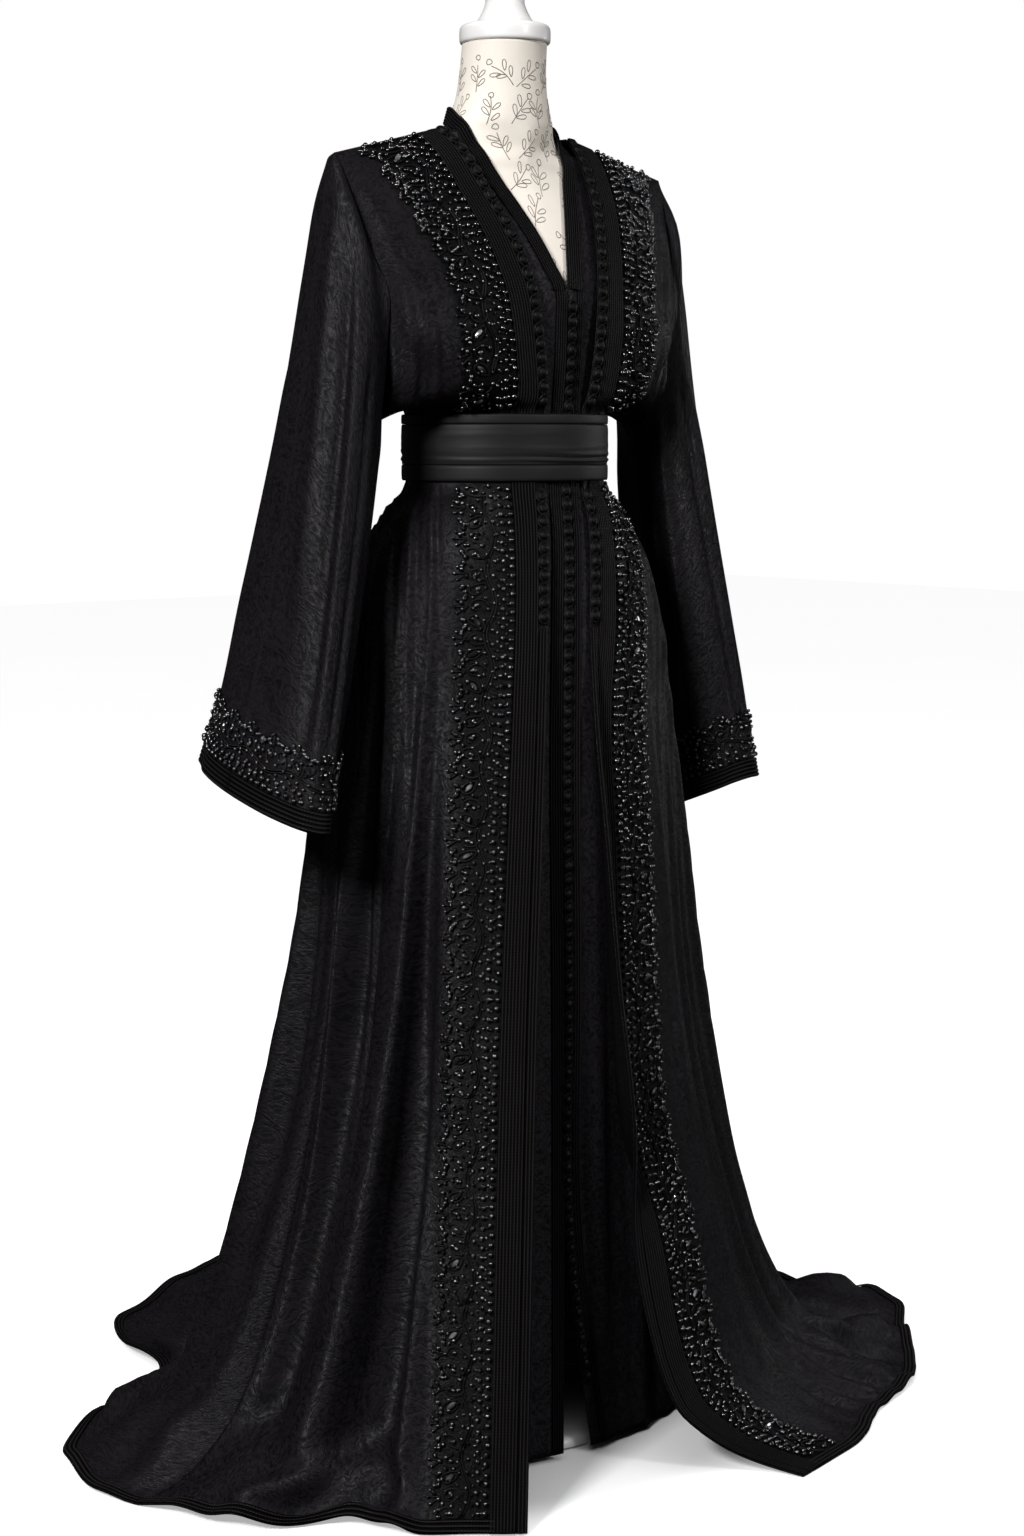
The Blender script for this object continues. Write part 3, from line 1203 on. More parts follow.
class GownColours(bpy.types.PropertyGroup):
    """Colours of the finishes, as linear values"""
    cloth: colour("Cloth", "Outer gown's jacquard", (0.0040, 0.0034, 0.0042))
    under_cloth: colour("Under-gown", "Under-gown's cloth", (0.0080, 0.0070, 0.0084))
    braid: colour("Braid", "Braid and soutache", (0.0044, 0.0040, 0.0042))
    knots: colour("Buttons", "Knotted buttons", (0.0014, 0.0014, 0.0014))
    beads: colour("Beads", "Glass beads", (0.0012, 0.0012, 0.0014))
    stones: colour("Stones", "Cut stones", (0.42, 0.43, 0.46))
    belt: colour("Belt", "Satin belt", (0.0098, 0.0089, 0.0098))
    linen: colour("Form cloth", "Cloth of the dress form", (0.80, 0.74, 0.66))
    print_line: colour("Printed lines", "Line pattern on the form's cloth", (0.20, 0.175, 0.16))
    lacquer: colour("Lacquer", "Turned cap and base", (0.78, 0.77, 0.76))
    steel: colour("Steel", "Pole", (0.62, 0.61, 0.6))


def made(obj, slot, *nodes):
    """Gives a finished piece its body, its finish slot and the nodes that it stands for."""
    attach(obj, BODY)
    if nodes:
        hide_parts(*nodes)
    return obj


SENSOR, FOCAL_PIXELS, FRAME_HEIGHT = 36.0, 2564.0, 1536.0
VIEW_TURN, VIEW_DISTANCE, VIEW_SHIFT, VIEW_HEIGHT, VIEW_PITCH = -40.0, 3000.0, 8.0, 1170.0, 7.29
FLOOR_REACH, FLOOR_POINTS, FLOOR_DROP, FLOOR_GLOW = 14000, 29, 0.4, 0.42
DARK_FLOOR = (0.26, 0.36)  # distances from the pole, in metres, between which the floor's glow grows from none
SKY_LIGHT, OVERHEAD_POWER, OVERHEAD_SPREAD = 0.03, 1.9, 70.0
STUDIO_LIGHTS = [  # name, place, aim, width, height, power
    ("key", (-3.4, -1.5, 2.9), (0, 0, 1.0), 0.8, 0.8, 180),
    ("front", (0.9, -3.5, 2.5), (0, 0, 1.0), 0.4, 0.4, 44),
    ("rim_left", (3.3, -0.6, 1.6), (0, 0, 0.8), 0.5, 1.0, 14),
]


def look_along(direction):
    return Vector(direction).to_track_quat("-Z", "Y")


def placed(name, data, direction):
    """An object of the scene that looks along a direction."""
    obj = bpy.data.objects.new(name, data)
    obj.rotation_mode = "QUATERNION"
    obj.rotation_quaternion = look_along(direction)
    bpy.context.scene.collection.objects.link(obj)
    return obj


def studio_floor():
    """Pale floor that glows a little, but not inside the gown."""
    n = np.linspace(-FLOOR_REACH, FLOOR_REACH, FLOOR_POINTS)
    x, y = np.meshgrid(n, n)
    points = stack(x, y, -FLOOR_DROP)
    f = Finish("studio_floor", (0.9, 0.9, 0.9), 0.75, Specular_IOR_Level=0.15, Emission_Strength=FLOOR_GLOW)
    at = f.place("Object")
    tone = f.noise(at, 0.8, 2.0)
    x_share, y_share = f.part(at, 0), f.part(at, 1)
    open_floor = (x_share * x_share + y_share * y_share).smooth(DARK_FLOOR[0]**2, DARK_FLOOR[1]**2)
    f.feed("Emission Color", f.blend(open_floor, (0, 0, 0), (1, 1, 1)))
    f.feed("Base Color", f.blend(tone, (0.9, 0.9, 0.9), (0.93, 0.93, 0.93)))
    faces = oriented(points, grid_faces(FLOOR_POINTS, FLOOR_POINTS), np.broadcast_to([0.0, 0, 1], points.shape))
    floor = make_mesh("floor", points, faces, f.material)
    floor.visible_glossy = floor.visible_diffuse = False
    return floor


def studio_world():
    """White for the camera, and faint as a light."""
    world = bpy.data.worlds.new("studio")
    world.use_nodes = True
    tree = world.node_tree
    back = tree.nodes["Background"]
    path = tree.nodes.new("ShaderNodeLightPath")
    amount = tree.nodes.new("ShaderNodeMapRange")
    tree.links.new(path.outputs["Is Camera Ray"], amount.inputs["Value"])
    amount.inputs["To Min"].default_value = SKY_LIGHT
    amount.inputs["To Max"].default_value = 1.0
    tree.links.new(amount.outputs[0], back.inputs["Strength"])
    back.inputs["Color"].default_value = (1, 1, 1, 1)
    return world


class GOWN_OT_stage(bpy.types.Operator):
    """Makes the pale floor, the soft lights and the camera"""
    bl_idname = "gown.stage"
    bl_label = "Stage"

    def execute(self, context):
        scene = context.scene
        scene.view_settings.view_transform = "Standard"
        studio_floor()
        scene.world = studio_world()

        sun = bpy.data.lights.new("overhead", "SUN")
        sun.energy, sun.angle = OVERHEAD_POWER, math.radians(OVERHEAD_SPREAD)
        placed("overhead", sun, (0.12, 0.1, -1.0)).visible_glossy = False
        for name, place, aim, width, height, power in STUDIO_LIGHTS:
            data = bpy.data.lights.new(name, "AREA")
            data.shape = "RECTANGLE"
            data.size, data.size_y, data.energy = width, height, power
            placed(name, data, np.array(aim) - np.array(place)).location = place

        data = bpy.data.cameras.new("camera")
        data.sensor_width = SENSOR
        data.lens = SENSOR * FOCAL_PIXELS / FRAME_HEIGHT
        data.clip_end = 60
        heading, pitch = math.radians(-VIEW_TURN), math.radians(VIEW_PITCH)
        ahead = np.array([math.sin(heading), math.cos(heading), 0])
        right = np.array([ahead[1], -ahead[0], 0])
        camera = placed("camera", data, ahead * math.cos(pitch) - np.array([0, 0, math.sin(pitch)]))
        camera.location = (-ahead * VIEW_DISTANCE + right * VIEW_SHIFT + [0, 0, VIEW_HEIGHT]) * MM
        scene.camera = camera
        return {"FINISHED"}


FORM_COLUMNS, END_SHARE = 128, 0.02


class GOWN_OT_form(bpy.types.Operator):
    """Makes the padded cloth form with its generic sprig pattern, and the turned cap"""
    bl_idname = "gown.form"
    bl_label = "Dress form"

    def execute(self, context):
        height = np.concatenate([np.linspace(NECK_TOP, 1440, 60), np.linspace(1436, TORSO_FOOT, 60)])
        angle = np.arange(FORM_COLUMNS) * 360 / FORM_COLUMNS
        points = form_point(*np.meshgrid(angle, height))
        inward = [END_SHARE, END_SHARE, 1]
        mesh_points, faces = tube_mesh(np.concatenate([points[:1] * inward, points, points[-1:] * inward]))
        v = np.concatenate([[height[0]], height, [height[-1]]])[:, None]
        u = np.broadcast_to(angle[None, :] * 0.9, (len(v), FORM_COLUMNS))
        body = make_mesh("dress_form", mesh_points, faces, finish("linen"), uv_of(u, v))
        made(body, "form_cloth", "form_torso")
        made(printed_sprigs(), "form_cloth")
        cap = lathe("turned_cap", rounded([(0.6, 1616.3), *CAP_PROFILE], 4), 72, finish("lacquer"))
        made(cap, "white_lacquer", "form_cap")
        return {"FINISHED"}


SPRIG_FOOT, SPRIG_TOP, SPRIG_RISE, SPRIG_SIZE = 1330, 1612, 38, 17


def printed_sprigs():
    """Fine grey line sprigs all over the form's cloth: a bent stem with pairs of open leaves and a round bud."""
    rng = np.random.default_rng(5)
    t = np.linspace(0, 1, 11)
    lines = []
    for row, height in enumerate(np.arange(SPRIG_FOOT + 18, SPRIG_TOP - 6, SPRIG_RISE)):
        for k in range(9):
            turn = k * 40 + 20 * (row % 2) + rng.uniform(-5, 5)
            lean, grow = rng.uniform(-0.9, 0.9), rng.uniform(0.85, 1.15) * SPRIG_SIZE
            bend = rng.uniform(-0.25, 0.25)
            sprig = [np.stack([bend * np.sin(np.pi * t), 2 * t - 1], -1)]
            for at, way in ((-0.6, 1), (-0.35, -1), (0.0, 1), (0.2, -1)):
                sprig.append(leaf_outline(bend + way * 0.36, at + 0.3, 0.75, 0.26, np.pi / 2 - way * 0.8, t))
            sprig.append(leaf_outline(0.0, 1.2, 0.4, 0.36, 0.0, t))
            for line in sprig:
                x = (line[:, 0] * np.cos(lean) - line[:, 1] * np.sin(lean)) * grow
                z = (line[:, 0] * np.sin(lean) + line[:, 1] * np.cos(lean)) * grow + height + rng.uniform(-3, 3)
                z = np.clip(z, SPRIG_FOOT, SPRIG_TOP)
                reach = np.hypot(*form_point(turn, height)[:2])
                lines.append([turn + np.degrees(x / reach), z])
    lines = np.array(lines)
    angle, height = lines[:, 0], lines[:, 1]
    normals = form_normal(angle, height)
    points, faces = sweep(form_point(angle, height) + normals * 0.15, normals, 0.5, 0.2)
    return make_mesh("printed_sprigs", points, faces, finish("print"))


class GOWN_OT_stand(bpy.types.Operator):
    """Makes the steel pole and the round base"""
    bl_idname = "gown.stand"
    bl_label = "Stand"

    def execute(self, context):
        top = TORSO_FOOT - 0.3
        pole = [(0.5, 14.3), (34, 14.3), (34, 16), (30, 22), (20, 27), (POLE_RADIUS, 34), (POLE_RADIUS, 420),
                (POLE_RADIUS, top - 1), (0.5, top)]
        made(lathe("pole", rounded(pole, 3), 48, finish("steel")), "pole_metal", "stand_pole")
        base = [(0.5, 0), (BASE_RADIUS - 3, 0), (BASE_RADIUS, 2), (BASE_RADIUS - 1, 7), (BASE_RADIUS - 4, 12),
                (BASE_RADIUS - 14, BASE_HEIGHT), (0.5, BASE_HEIGHT)]
        made(lathe("base", rounded(base, 4), 96, finish("lacquer")), "white_lacquer", "stand_base")
        return {"FINISHED"}


class GOWN_OT_under_gown(bpy.types.Operator):
    """Makes the under-gown's two fronts and back"""
    bl_idname = "gown.under_gown"
    bl_label = "Under-gown"

    def execute(self, context):
        for part, node in (("right", "under_front_right"), ("left", "under_front_left"), ("back", "under_back")):
            points, s, length, _ = under_grid(part)
            piece = cloth_piece("lower_gown_" + part, points, normals_of(points), uv_of(s, length[:, None]),
                                finish("under_cloth"))
            made(piece, "under_cloth", node)
        return {"FINISHED"}


class GOWN_OT_outer_gown(bpy.types.Operator):
    """Makes the outer gown's two fronts and its back with the train"""
    bl_idname = "gown.outer_gown"
    bl_label = "Outer gown"

    def execute(self, context):
        for part, node in (("right", "over_front_right"), ("left", "over_front_left"), ("back", "over_back")):
            points, s, length = panel_grid(part)
            piece = cloth_piece("outer_gown_" + part, points, normals_of(points), uv_of(s, length[:, None]),
                                finish("jacquard" if part == "back" else "faced_front"))
            made(piece, "jacquard", node)
        return {"FINISHED"}


class GOWN_OT_sleeves(bpy.types.Operator):
    """Makes both sleeves"""
    bl_idname = "gown.sleeves"
    bl_label = "Sleeves"

    def execute(self, context):
        for label, side in SIDES:
            points, normals, length = sleeve_grid(side)
            s = np.arange(SLEEVE_COLUMNS) * SLEEVE_COLUMN_UV
            piece = cloth_piece("outer_sleeve_" + label, points, normals, uv_of(s[None, :], length[:, None]),
                                finish("jacquard"), wrap=True)
            made(piece, "jacquard", "sleeve_" + label)
        return {"FINISHED"}


def rib_stops(start, end, ribs):
    """Stops across a braid: groove, rise, crown and fall of each rib."""
    t = np.concatenate([(np.arange(ribs)[:, None] + [0.0, 0.2, 0.5, 0.8]).ravel(), [ribs]]) / ribs
    return mix(start, end, t)


def ribbed(across, ribs, base, relief):
    """Heights of a braid: round ribs side by side, lower at both edges."""
    t = (across - across[0]) / (across[-1] - across[0])
    ends = smooth_step(0, 0.03, t) * smooth_step(1, 0.97, t)
    return (base + relief * np.abs(np.sin(np.pi * ribs * t)) ** 0.6) * (0.35 + 0.65 * ends)


def braid_strip(name, patch, start, end, ribs, base, relief, run, closed_path=False):
    across = rib_stops(start, end, ribs)
    heights = ribbed(across, ribs, base, relief)
    return raised_strip(name, patch, across, heights, run, finish("braid"), ribs, closed_path)


NECK_BRAID, COLLAR_RISE, COLLAR_TURN = 20.0, 16.0, 130.0


def neck_patch():
    """Where the neck braid lies: from the V up each side of the neck and round behind it, 20 mm wide all along.

    The path is the neckline up to the neck's side, then it climbs by COLLAR_RISE until COLLAR_TURN. The
    width is measured on the under-gown's surface at right angles to the path, down and away from the neck.
    """
    heights = np.linspace(UNDER_ROWS[V_ROW] + 1, UNDER_ROWS[0] - 5, 70)
    turn = np.array([under_front_angle(1, h) for h in heights])
    side = np.linspace(turn[-1], 180, 60)[1:]
    share = np.minimum(1, (side - side[0]) / (COLLAR_TURN - side[0]))
    climb = mix(heights[-1], UNDER_ROWS[0] + COLLAR_RISE, np.sin(np.pi / 2 * share))
    turn, heights = np.concatenate([turn, side]), np.concatenate([heights, climb])
    turn, heights = np.concatenate([-turn, turn[-2::-1]]), np.concatenate([heights, heights[-2::-1]])
    path = np.array([under_point(t, h) for t, h in zip(turn, heights)])
    normal = np.array([form_normal(t, h) for t, h in zip(turn, heights)])
    for _ in range(3):
        path[1:-1] = (path[:-2] + path[1:-1] * 2 + path[2:]) / 4
        normal[1:-1] = (normal[:-2] + normal[1:-1] * 2 + normal[2:]) / 4
    tangent = np.gradient(path, axis=0)
    sideways = np.cross(tangent, normal)
    sideways /= np.linalg.norm(sideways, axis=1, keepdims=True)
    sideways *= np.where((sideways * [1, 0, 0]).sum(1) * path[:, 0] - sideways[:, 2] * 60 > 0, 1, -1)[:, None]
    wide = np.linspace(0, NECK_BRAID, 9)
    flat = path[:, None] + sideways[:, None] * wide[None, :, None]
    radius = np.hypot(flat[..., 0], flat[..., 1])
    angle = np.degrees(np.arctan2(flat[..., 0], -flat[..., 1]))
    laid = np.array([[under_point(a, z) for a, z in zip(row_a, row_z)] for row_a, row_z in zip(angle, flat[..., 2])])
    pushed = np.hypot(laid[..., 0], laid[..., 1]) > radius
    points = np.where(pushed[..., None] & (flat[..., 2:] > 1500), laid, flat)
    return Patch(points, wide, line_length(points[:, 4]), np.repeat(normal[:, None], len(wide), 1))


CENTRE_BRAIDS = {-1: (0.5, 16.5, 5, ["under_centre_braid"]), 1: (13.2, 24, 3, [])}  # start, end, ribs, nodes


class GOWN_OT_braid(bpy.types.Operator):
    """Makes the braids of the fronts, the neckline, the centre, the hems and the cuffs"""
    bl_idname = "gown.braid"
    bl_label = "Braid"

    def execute(self, context):
        ribs = context.scene.gown_sizes.ribs
        for label, side in SIDES:
            patch = front_patch(side)
            run = np.append(patch.length[1:-1:2], patch.length[-1])
            strip = braid_strip("front_braid_" + label, patch, BUTTON_WIDTH + 0.8, BAND_START - 0.6, ribs,
                                0.9, 1.2, run)
            made(strip, "braid", "braid_front_" + label)
            foot = height_length(patch, 6, BUTTONS_END)
            low = np.append(np.arange(foot, patch.length[-1], BRAID_STEP), patch.length[-1])
            strip = braid_strip("edge_braid_" + label, patch, 0.5, BUTTON_WIDTH - 0.2, 3, 0.8, 1.1, low)
            made(strip, "braid", "braid_edge_" + label)
            top = np.arange(patch.length[1], foot - 2, BRAID_STEP)
            made(braid_strip("button_rail_" + label, patch, 0.4, 2.6, 1, 0.6, 1.0, top), "braid")
        for label, side in SIDES:
            patch = under_patch(side)
            foot = row_length(patch, V_ROW - 0.1)
            run = np.arange(foot, patch.length[-1], BRAID_STEP)
            start, end, ribs, nodes = CENTRE_BRAIDS[side]
            made(braid_strip("centre_braid_" + label, patch, start, end, ribs, 0.7, 1.1, run), "braid", *nodes)
        patch = neck_patch()
        run = np.arange(1.0, patch.length[-1] - 1, 4.0)
        made(braid_strip("neck_braid", patch, 0.3, NECK_BRAID - 0.3, 6, 0.9, 1.1, run), "braid",
             "under_neck_braid_right", "under_neck_braid_left")
        for part in ("right", "left", "back"):
            patch = hem_patch(part)
            start = 0.0 if part == "back" else BAND_START - 6
            run = np.linspace(start, patch.length[-1], int((patch.length[-1] - start) / BRAID_STEP))
            made(braid_strip("hem_braid_" + part, patch, 0.3, HEM_BRAID, 3, 0.8, 1.1, run), "braid",
                 "braid_hem_" + part)
        for label, side in SIDES:
            patch = cuff_patch(side)
            made(braid_strip("cuff_braid_" + label, patch, 0.4, CUFF_BRAID, 5, 1.0, 1.4, patch.length[:-1], True),
                 "braid", "braid_cuff_" + label)
        return {"FINISHED"}


def frames(normals, along_axis):
    """Three axes for each point: across, along and out."""
    out = normals
    along_axis = along_axis - out * (along_axis * out).sum(-1, keepdims=True)
    along_axis = along_axis / np.maximum(np.linalg.norm(along_axis, axis=-1, keepdims=True), 1e-9)
    return np.stack([np.cross(along_axis, out), along_axis, out], -2)


def knot_relief(lat, lon):
    """Turk's head: three strands cross over a ball, so its radius follows two slanted waves."""
    a, b = np.sin(1.5 * lon + 2.6 * lat), np.sin(1.5 * lon - 2.6 * lat)
    return 0.80 + 0.26 * np.maximum(np.abs(a), np.abs(b)) ** 3 * np.sin(lat)


def spun(normals, ahead, angle):
    """Frames with their first two axes turned by an angle round the third."""
    turned = frames(normals, ahead)
    c, s = np.cos(angle), np.sin(angle)
    zero, one = np.zeros_like(c), np.ones_like(c)
    rotate = np.stack([stack(c, s, zero), stack(-s, c, zero), stack(zero, zero, one)], -2)
    return np.einsum("nij,njk->nik", rotate, turned)


def clear_of_belt(points):
    """True where a point is above or below the belt."""
    return (points[..., 2] > BELT_TOP + 4) | (points[..., 2] < BELT_BOTTOM - 4)


FRONT_BUTTONS, CENTRE_BUTTONS = 6.4, 6.2
LOOP_WIDTH, LOOP_LENGTH = 6.3, 7.6


def button_column(name, patch, across, length, material):
    """Knotted buttons in a column, each in the ring of its loop cord."""
    size = bpy.context.scene.gown_sizes.button / MM / 2
    length = np.asarray(length, float)
    length = length[clear_of_belt(patch.at(np.full(len(length), across), length, np.zeros(len(length)))[0])]
    rng = np.random.default_rng(len(length) * 7 + int(across))
    column = across + rng.uniform(-0.6, 0.6, len(length))
    centres, normals = patch.at(column, length, np.full(len(length), size * 0.4))
    ahead, _ = patch.at(column, length + 3, np.full(len(length), size * 0.4))
    turned = spun(normals, ahead - centres, rng.uniform(0, 2 * np.pi, len(length)))
    sizes = np.array([[size, size, size * 0.7]]) * rng.uniform(0.94, 1.06, (len(length), 1))
    knots = scatter(name, sphere_shape(16, 10, knot_relief), centres, turned, sizes, material)
    turn = np.linspace(0, 2 * np.pi, 13)
    over = np.clip(column[:, None] + LOOP_WIDTH * np.sin(turn), 0.2, None)
    points, lifted = patch.at(over, length[:, None] + LOOP_LENGTH * np.cos(turn), np.full(over.shape, 2.0))
    points, faces = sweep(points, lifted, 1.3, 1.5)
    return knots, make_mesh(name + "_loops", points, faces, finish("soutache"))


class GOWN_OT_buttons(bpy.types.Operator):
    """Makes the three columns of knotted buttons with their loops"""
    bl_idname = "gown.buttons"
    bl_label = "Knotted buttons"

    def execute(self, context):
        pitch = context.scene.gown_sizes.button_pitch / MM
        material = finish("knots")
        for label, side in SIDES:
            patch = front_patch(side)
            foot = height_length(patch, 6, BUTTONS_END)
            knots, cords = button_column("buttons_front_" + label, patch, FRONT_BUTTONS,
                                         np.arange(patch.length[0] + 8, foot, pitch), material)
            made(knots, "knots", "buttons_" + label)
            made(cords, "braid")
        patch = under_patch(1)
        top, foot = row_length(patch, V_ROW + 0.5), height_length(patch, 6, CENTRE_BUTTONS_END)
        knots, cords = button_column("buttons_centre", patch, CENTRE_BUTTONS, np.arange(top, foot, pitch), material)
        made(knots, "knots", "under_buttons")
        made(cords, "braid")
        return {"FINISHED"}


def leaf_outline(x, y, long, wide, turn, t):
    """A closed leaf in a plane, fuller at one end; t runs once round it."""
    a = 2 * np.pi * t
    u, v = long / 2 * -np.cos(a), wide / 2 * np.sin(a) * (1 - 0.35 * np.cos(a))
    return np.stack([x + u * np.cos(turn) - v * np.sin(turn), y + u * np.sin(turn) + v * np.cos(turn)], -1)


def vine(repeats, repeat, rng):
    """Soutache vine, in mm: x across the band from its inner line, y down it.

    In each repeat a double stem waves down; two hooks curl back from it round a black drop; two leaves stand between
    them, each with a cut stone; and three fine sprigs end in beads at the outer edge.
    """
    t = np.linspace(0, 1, 15)
    cords, drops, stones, tips = [], [], [], []
    for k in range(repeats):
        y0 = k * repeat + rng.uniform(-1.5, 1.5)
        for shift in (-1.3, 1.3):
            cords.append(np.stack([27 + shift + 4.5 * np.sin(2 * np.pi * t + 0.6), y0 + t * repeat], -1))
        for start, flip in ((0.10, 1), (0.60, -1)):
            reach = rng.uniform(8.6, 9.8)
            a = t * 1.45 * np.pi
            radius = reach * (1 - 0.55 * t)
            centre = (38.5, y0 + repeat * (start + 0.1))
            cords.append(np.stack([centre[0] - radius * np.cos(a), centre[1] + flip * radius * np.sin(a)], -1))
            drops.append((centre[0] + 0.8, centre[1] + 1.0 * flip, rng.uniform(-0.5, 0.5) + np.pi / 2))
            turn = flip * rng.uniform(0.5, 0.9)
            middle = (39 + rng.uniform(-1, 1), y0 + repeat * (start + 0.33))
            cords.append(leaf_outline(*middle, 17, 9.5, turn, t))
            (stones if rng.uniform() < 0.4 else drops).append((*middle, turn - np.pi / 2))
            for slant in (-1, 0, 1):
                x = mix(47, 58 - 2.5 * abs(slant), t)
                cords.append(np.stack([x, y0 + repeat * (start + 0.10) + slant * (1 + 6 * t**1.3)], -1))
                tips.append((x[-1] + 1.5, cords[-1][-1, 1], 0.62))
            for turned, far in ((-0.16, 50), (-0.06, 53), (0.2, 52), (0.28, 49)):
                tips.append((far + rng.uniform(-1, 1), y0 + repeat * (start + 0.1 + turned), 0.9))
    return np.array(cords), np.array(drops), np.array(stones), np.array(tips)


def stone_shape():
    """Cut drop: a flat table, a girdle that comes to a point at one end, and a low back."""
    a = np.arange(10) * 2 * np.pi / 10
    point = 1 + 0.35 * np.maximum(0, np.sin(a)) ** 3
    rings = [np.stack([radius * np.cos(a), radius * np.sin(a) * point, np.full_like(a, height)], -1)
             for radius, height in ((0.55, 0.9), (0.92, 0.45), (1.0, 0.0), (0.7, -0.5))]
    return tube_mesh(np.array(rings))


def bead_rows(span, rows, rng):
    """Rows of beads beside the braid: place across, distance down and radius of each bead, a little uneven."""
    sizes = bpy.context.scene.gown_sizes
    across, length, radius = [], [], []
    for offset, share, gap, spread in rows:
        y = np.arange(span[0] + 2 + rng.uniform(0, 4), span[1] - 2, sizes.bead_pitch / MM * gap)
        across.append(offset + rng.uniform(-spread, spread, len(y)))
        length.append(y + rng.uniform(-1.0, 1.0, len(y)))
        radius.append(sizes.bead / MM / 2 * share * rng.uniform(0.88, 1.08, len(y)))
    return np.concatenate(across), np.concatenate(length), np.concatenate(radius)


BEAD_ROWS = [  # distance from the braid, share of the bead's size, share of the pitch, spread across
    (4.2, 1.0, 1.0, 0.9), (9.0, 0.5, 1.1, 0.9), (13.6, 0.92, 1.06, 1.2), (18.6, 0.55, 1.0, 1.5),
    (24.0, 0.7, 1.5, 2.0), (31.0, 0.6, 1.2, 2.6), (37.0, 0.7, 1.3, 2.8), (44.0, 0.7, 1.15, 2.8),
    (51.0, 0.75, 1.2, 2.6),
]
BAND_UNITS = 60  # width of the band in its own x


def beadwork(name, patch, start, outer, span, seed, scale, bead_node):
    """A beaded band: rows of beads, the vine of cords, black drops, cut stones and beads at the sprigs' tips.

    The band's own x, in mm, is stretched so that it fills the width up to the outer line.
    """
    rng = np.random.default_rng(seed)
    sizes = bpy.context.scene.gown_sizes
    repeats = max(1, round((span[1] - span[0]) / (sizes.motif / MM)))
    repeat = (span[1] - span[0]) / repeats
    bead = sizes.bead / MM / 2

    def place(x, y, lift):
        y = np.clip(y, span[0] + 1, span[1] - 1)
        stretch = (outer(y) - start - BAND_UNITS * scale) / BAND_UNITS
        wide = start + x * (scale + stretch * smooth_step(18, 50, x))
        return patch.at(np.clip(wide, start, patch.across[-1] - 1), y, lift)

    cords, drops, stones, tips = vine(repeats, repeat, rng)
    points, normals = place(cords[..., 0], cords[..., 1] + span[0], np.full(cords.shape[:2], 1.7))
    keep = clear_of_belt(points).all(1)
    cord_points, cord_faces = sweep(points[keep], normals[keep], 1.0, 1.2)
    made(make_mesh(name + "_vine", cord_points, cord_faces, finish("soutache")), "beadwork")

    x, y, radius = bead_rows(span, BEAD_ROWS, rng)
    x, y, radius = (np.concatenate(pair) for pair in ((x, tips[:, 0]), (y, tips[:, 1] + span[0]),
                                                      (radius, tips[:, 2] * bead)))
    centre, normal = place(x, y, radius * 0.85 + TRIM_GAP + 0.4 * (x > 20))
    crowd = int(repeats * 9 * max(0.0, outer(y[:1])[0] - start - BAND_UNITS) / BAND_UNITS)
    if crowd:
        fx, fy = rng.uniform(20, BAND_UNITS, crowd), span[0] + rng.uniform(0, 150, crowd)
        more = bead * rng.uniform(0.5, 1.0, crowd)
        c, n = place(fx, fy, more * 0.85 + TRIM_GAP)
        centre, normal, radius = np.concatenate([centre, c]), np.concatenate([normal, n]), np.append(radius, more)
    keep = clear_of_belt(centre)
    turned = frames(normal[keep], np.broadcast_to([0.0, 0.3, 1.0], normal[keep].shape))
    made(scatter(name + "_beads", sphere_shape(8, 4), centre[keep], turned, np.repeat(radius[keep, None], 3, 1),
                 finish("beads")), "beadwork", bead_node)

    for label, items, shape, size, material in (
            ("drops", drops, sphere_shape(10, 6), (2.5, 3.8, 2.3), "beads"),
            ("stones", stones, stone_shape(), (2.7, 5.2, 2.2), "stones")):
        c, n = place(items[:, 0], items[:, 1] + span[0], np.full(len(items), 2.4))
        ahead, _ = place(items[:, 0], items[:, 1] + span[0] + 3, np.full(len(items), 2.4))
        keep = clear_of_belt(c)
        turned = spun(n[keep], (ahead - c)[keep], items[keep, 2])
        grown = np.array([size]) * rng.uniform(0.85, 1.1, (keep.sum(), 1))
        made(scatter(f"{name}_{label}", shape, c[keep], turned, grown, finish(material), label == "drops"),
             "beadwork")


def band_width(patch):
    """Outer line of the bead band: it reaches the shoulder tip at the top and narrows to an even band."""
    wide = np.interp(patch.rows, [0, 1, 2, 3, 4, 6], [138, 126, 116, 111, 109, BAND_END])
    return lambda y: np.interp(y, patch.length, wide)


class GOWN_OT_beadwork(bpy.types.Operator):
    """Makes the beaded bands of both fronts and both cuffs"""
    bl_idname = "gown.beadwork"
    bl_label = "Beadwork"

    def execute(self, context):
        for label, side in SIDES:
            patch = front_patch(side)
            span = (patch.length[1], patch.length[-1] - HEM_BRAID)
            beadwork("band_" + label, patch, BAND_START, band_width(patch), span, 11 + side, 1.0,
                     "bead_band_" + label)
        for label, side in SIDES:
            patch = cuff_patch(side)
            beadwork("cuff_" + label, patch, CUFF_BRAID, lambda y: np.full_like(y, CUFF_BRAID + CUFF_BEADS - 6),
                     (patch.length[0], patch.length[-1]), 41 + side, 0.95, "bead_cuff_" + label)
        return {"FINISHED"}


BELT_COLUMNS, BELT_ROUND, BELT_SEAT = 160, 740, TRIM_GAP + 1 + BELT_GAP


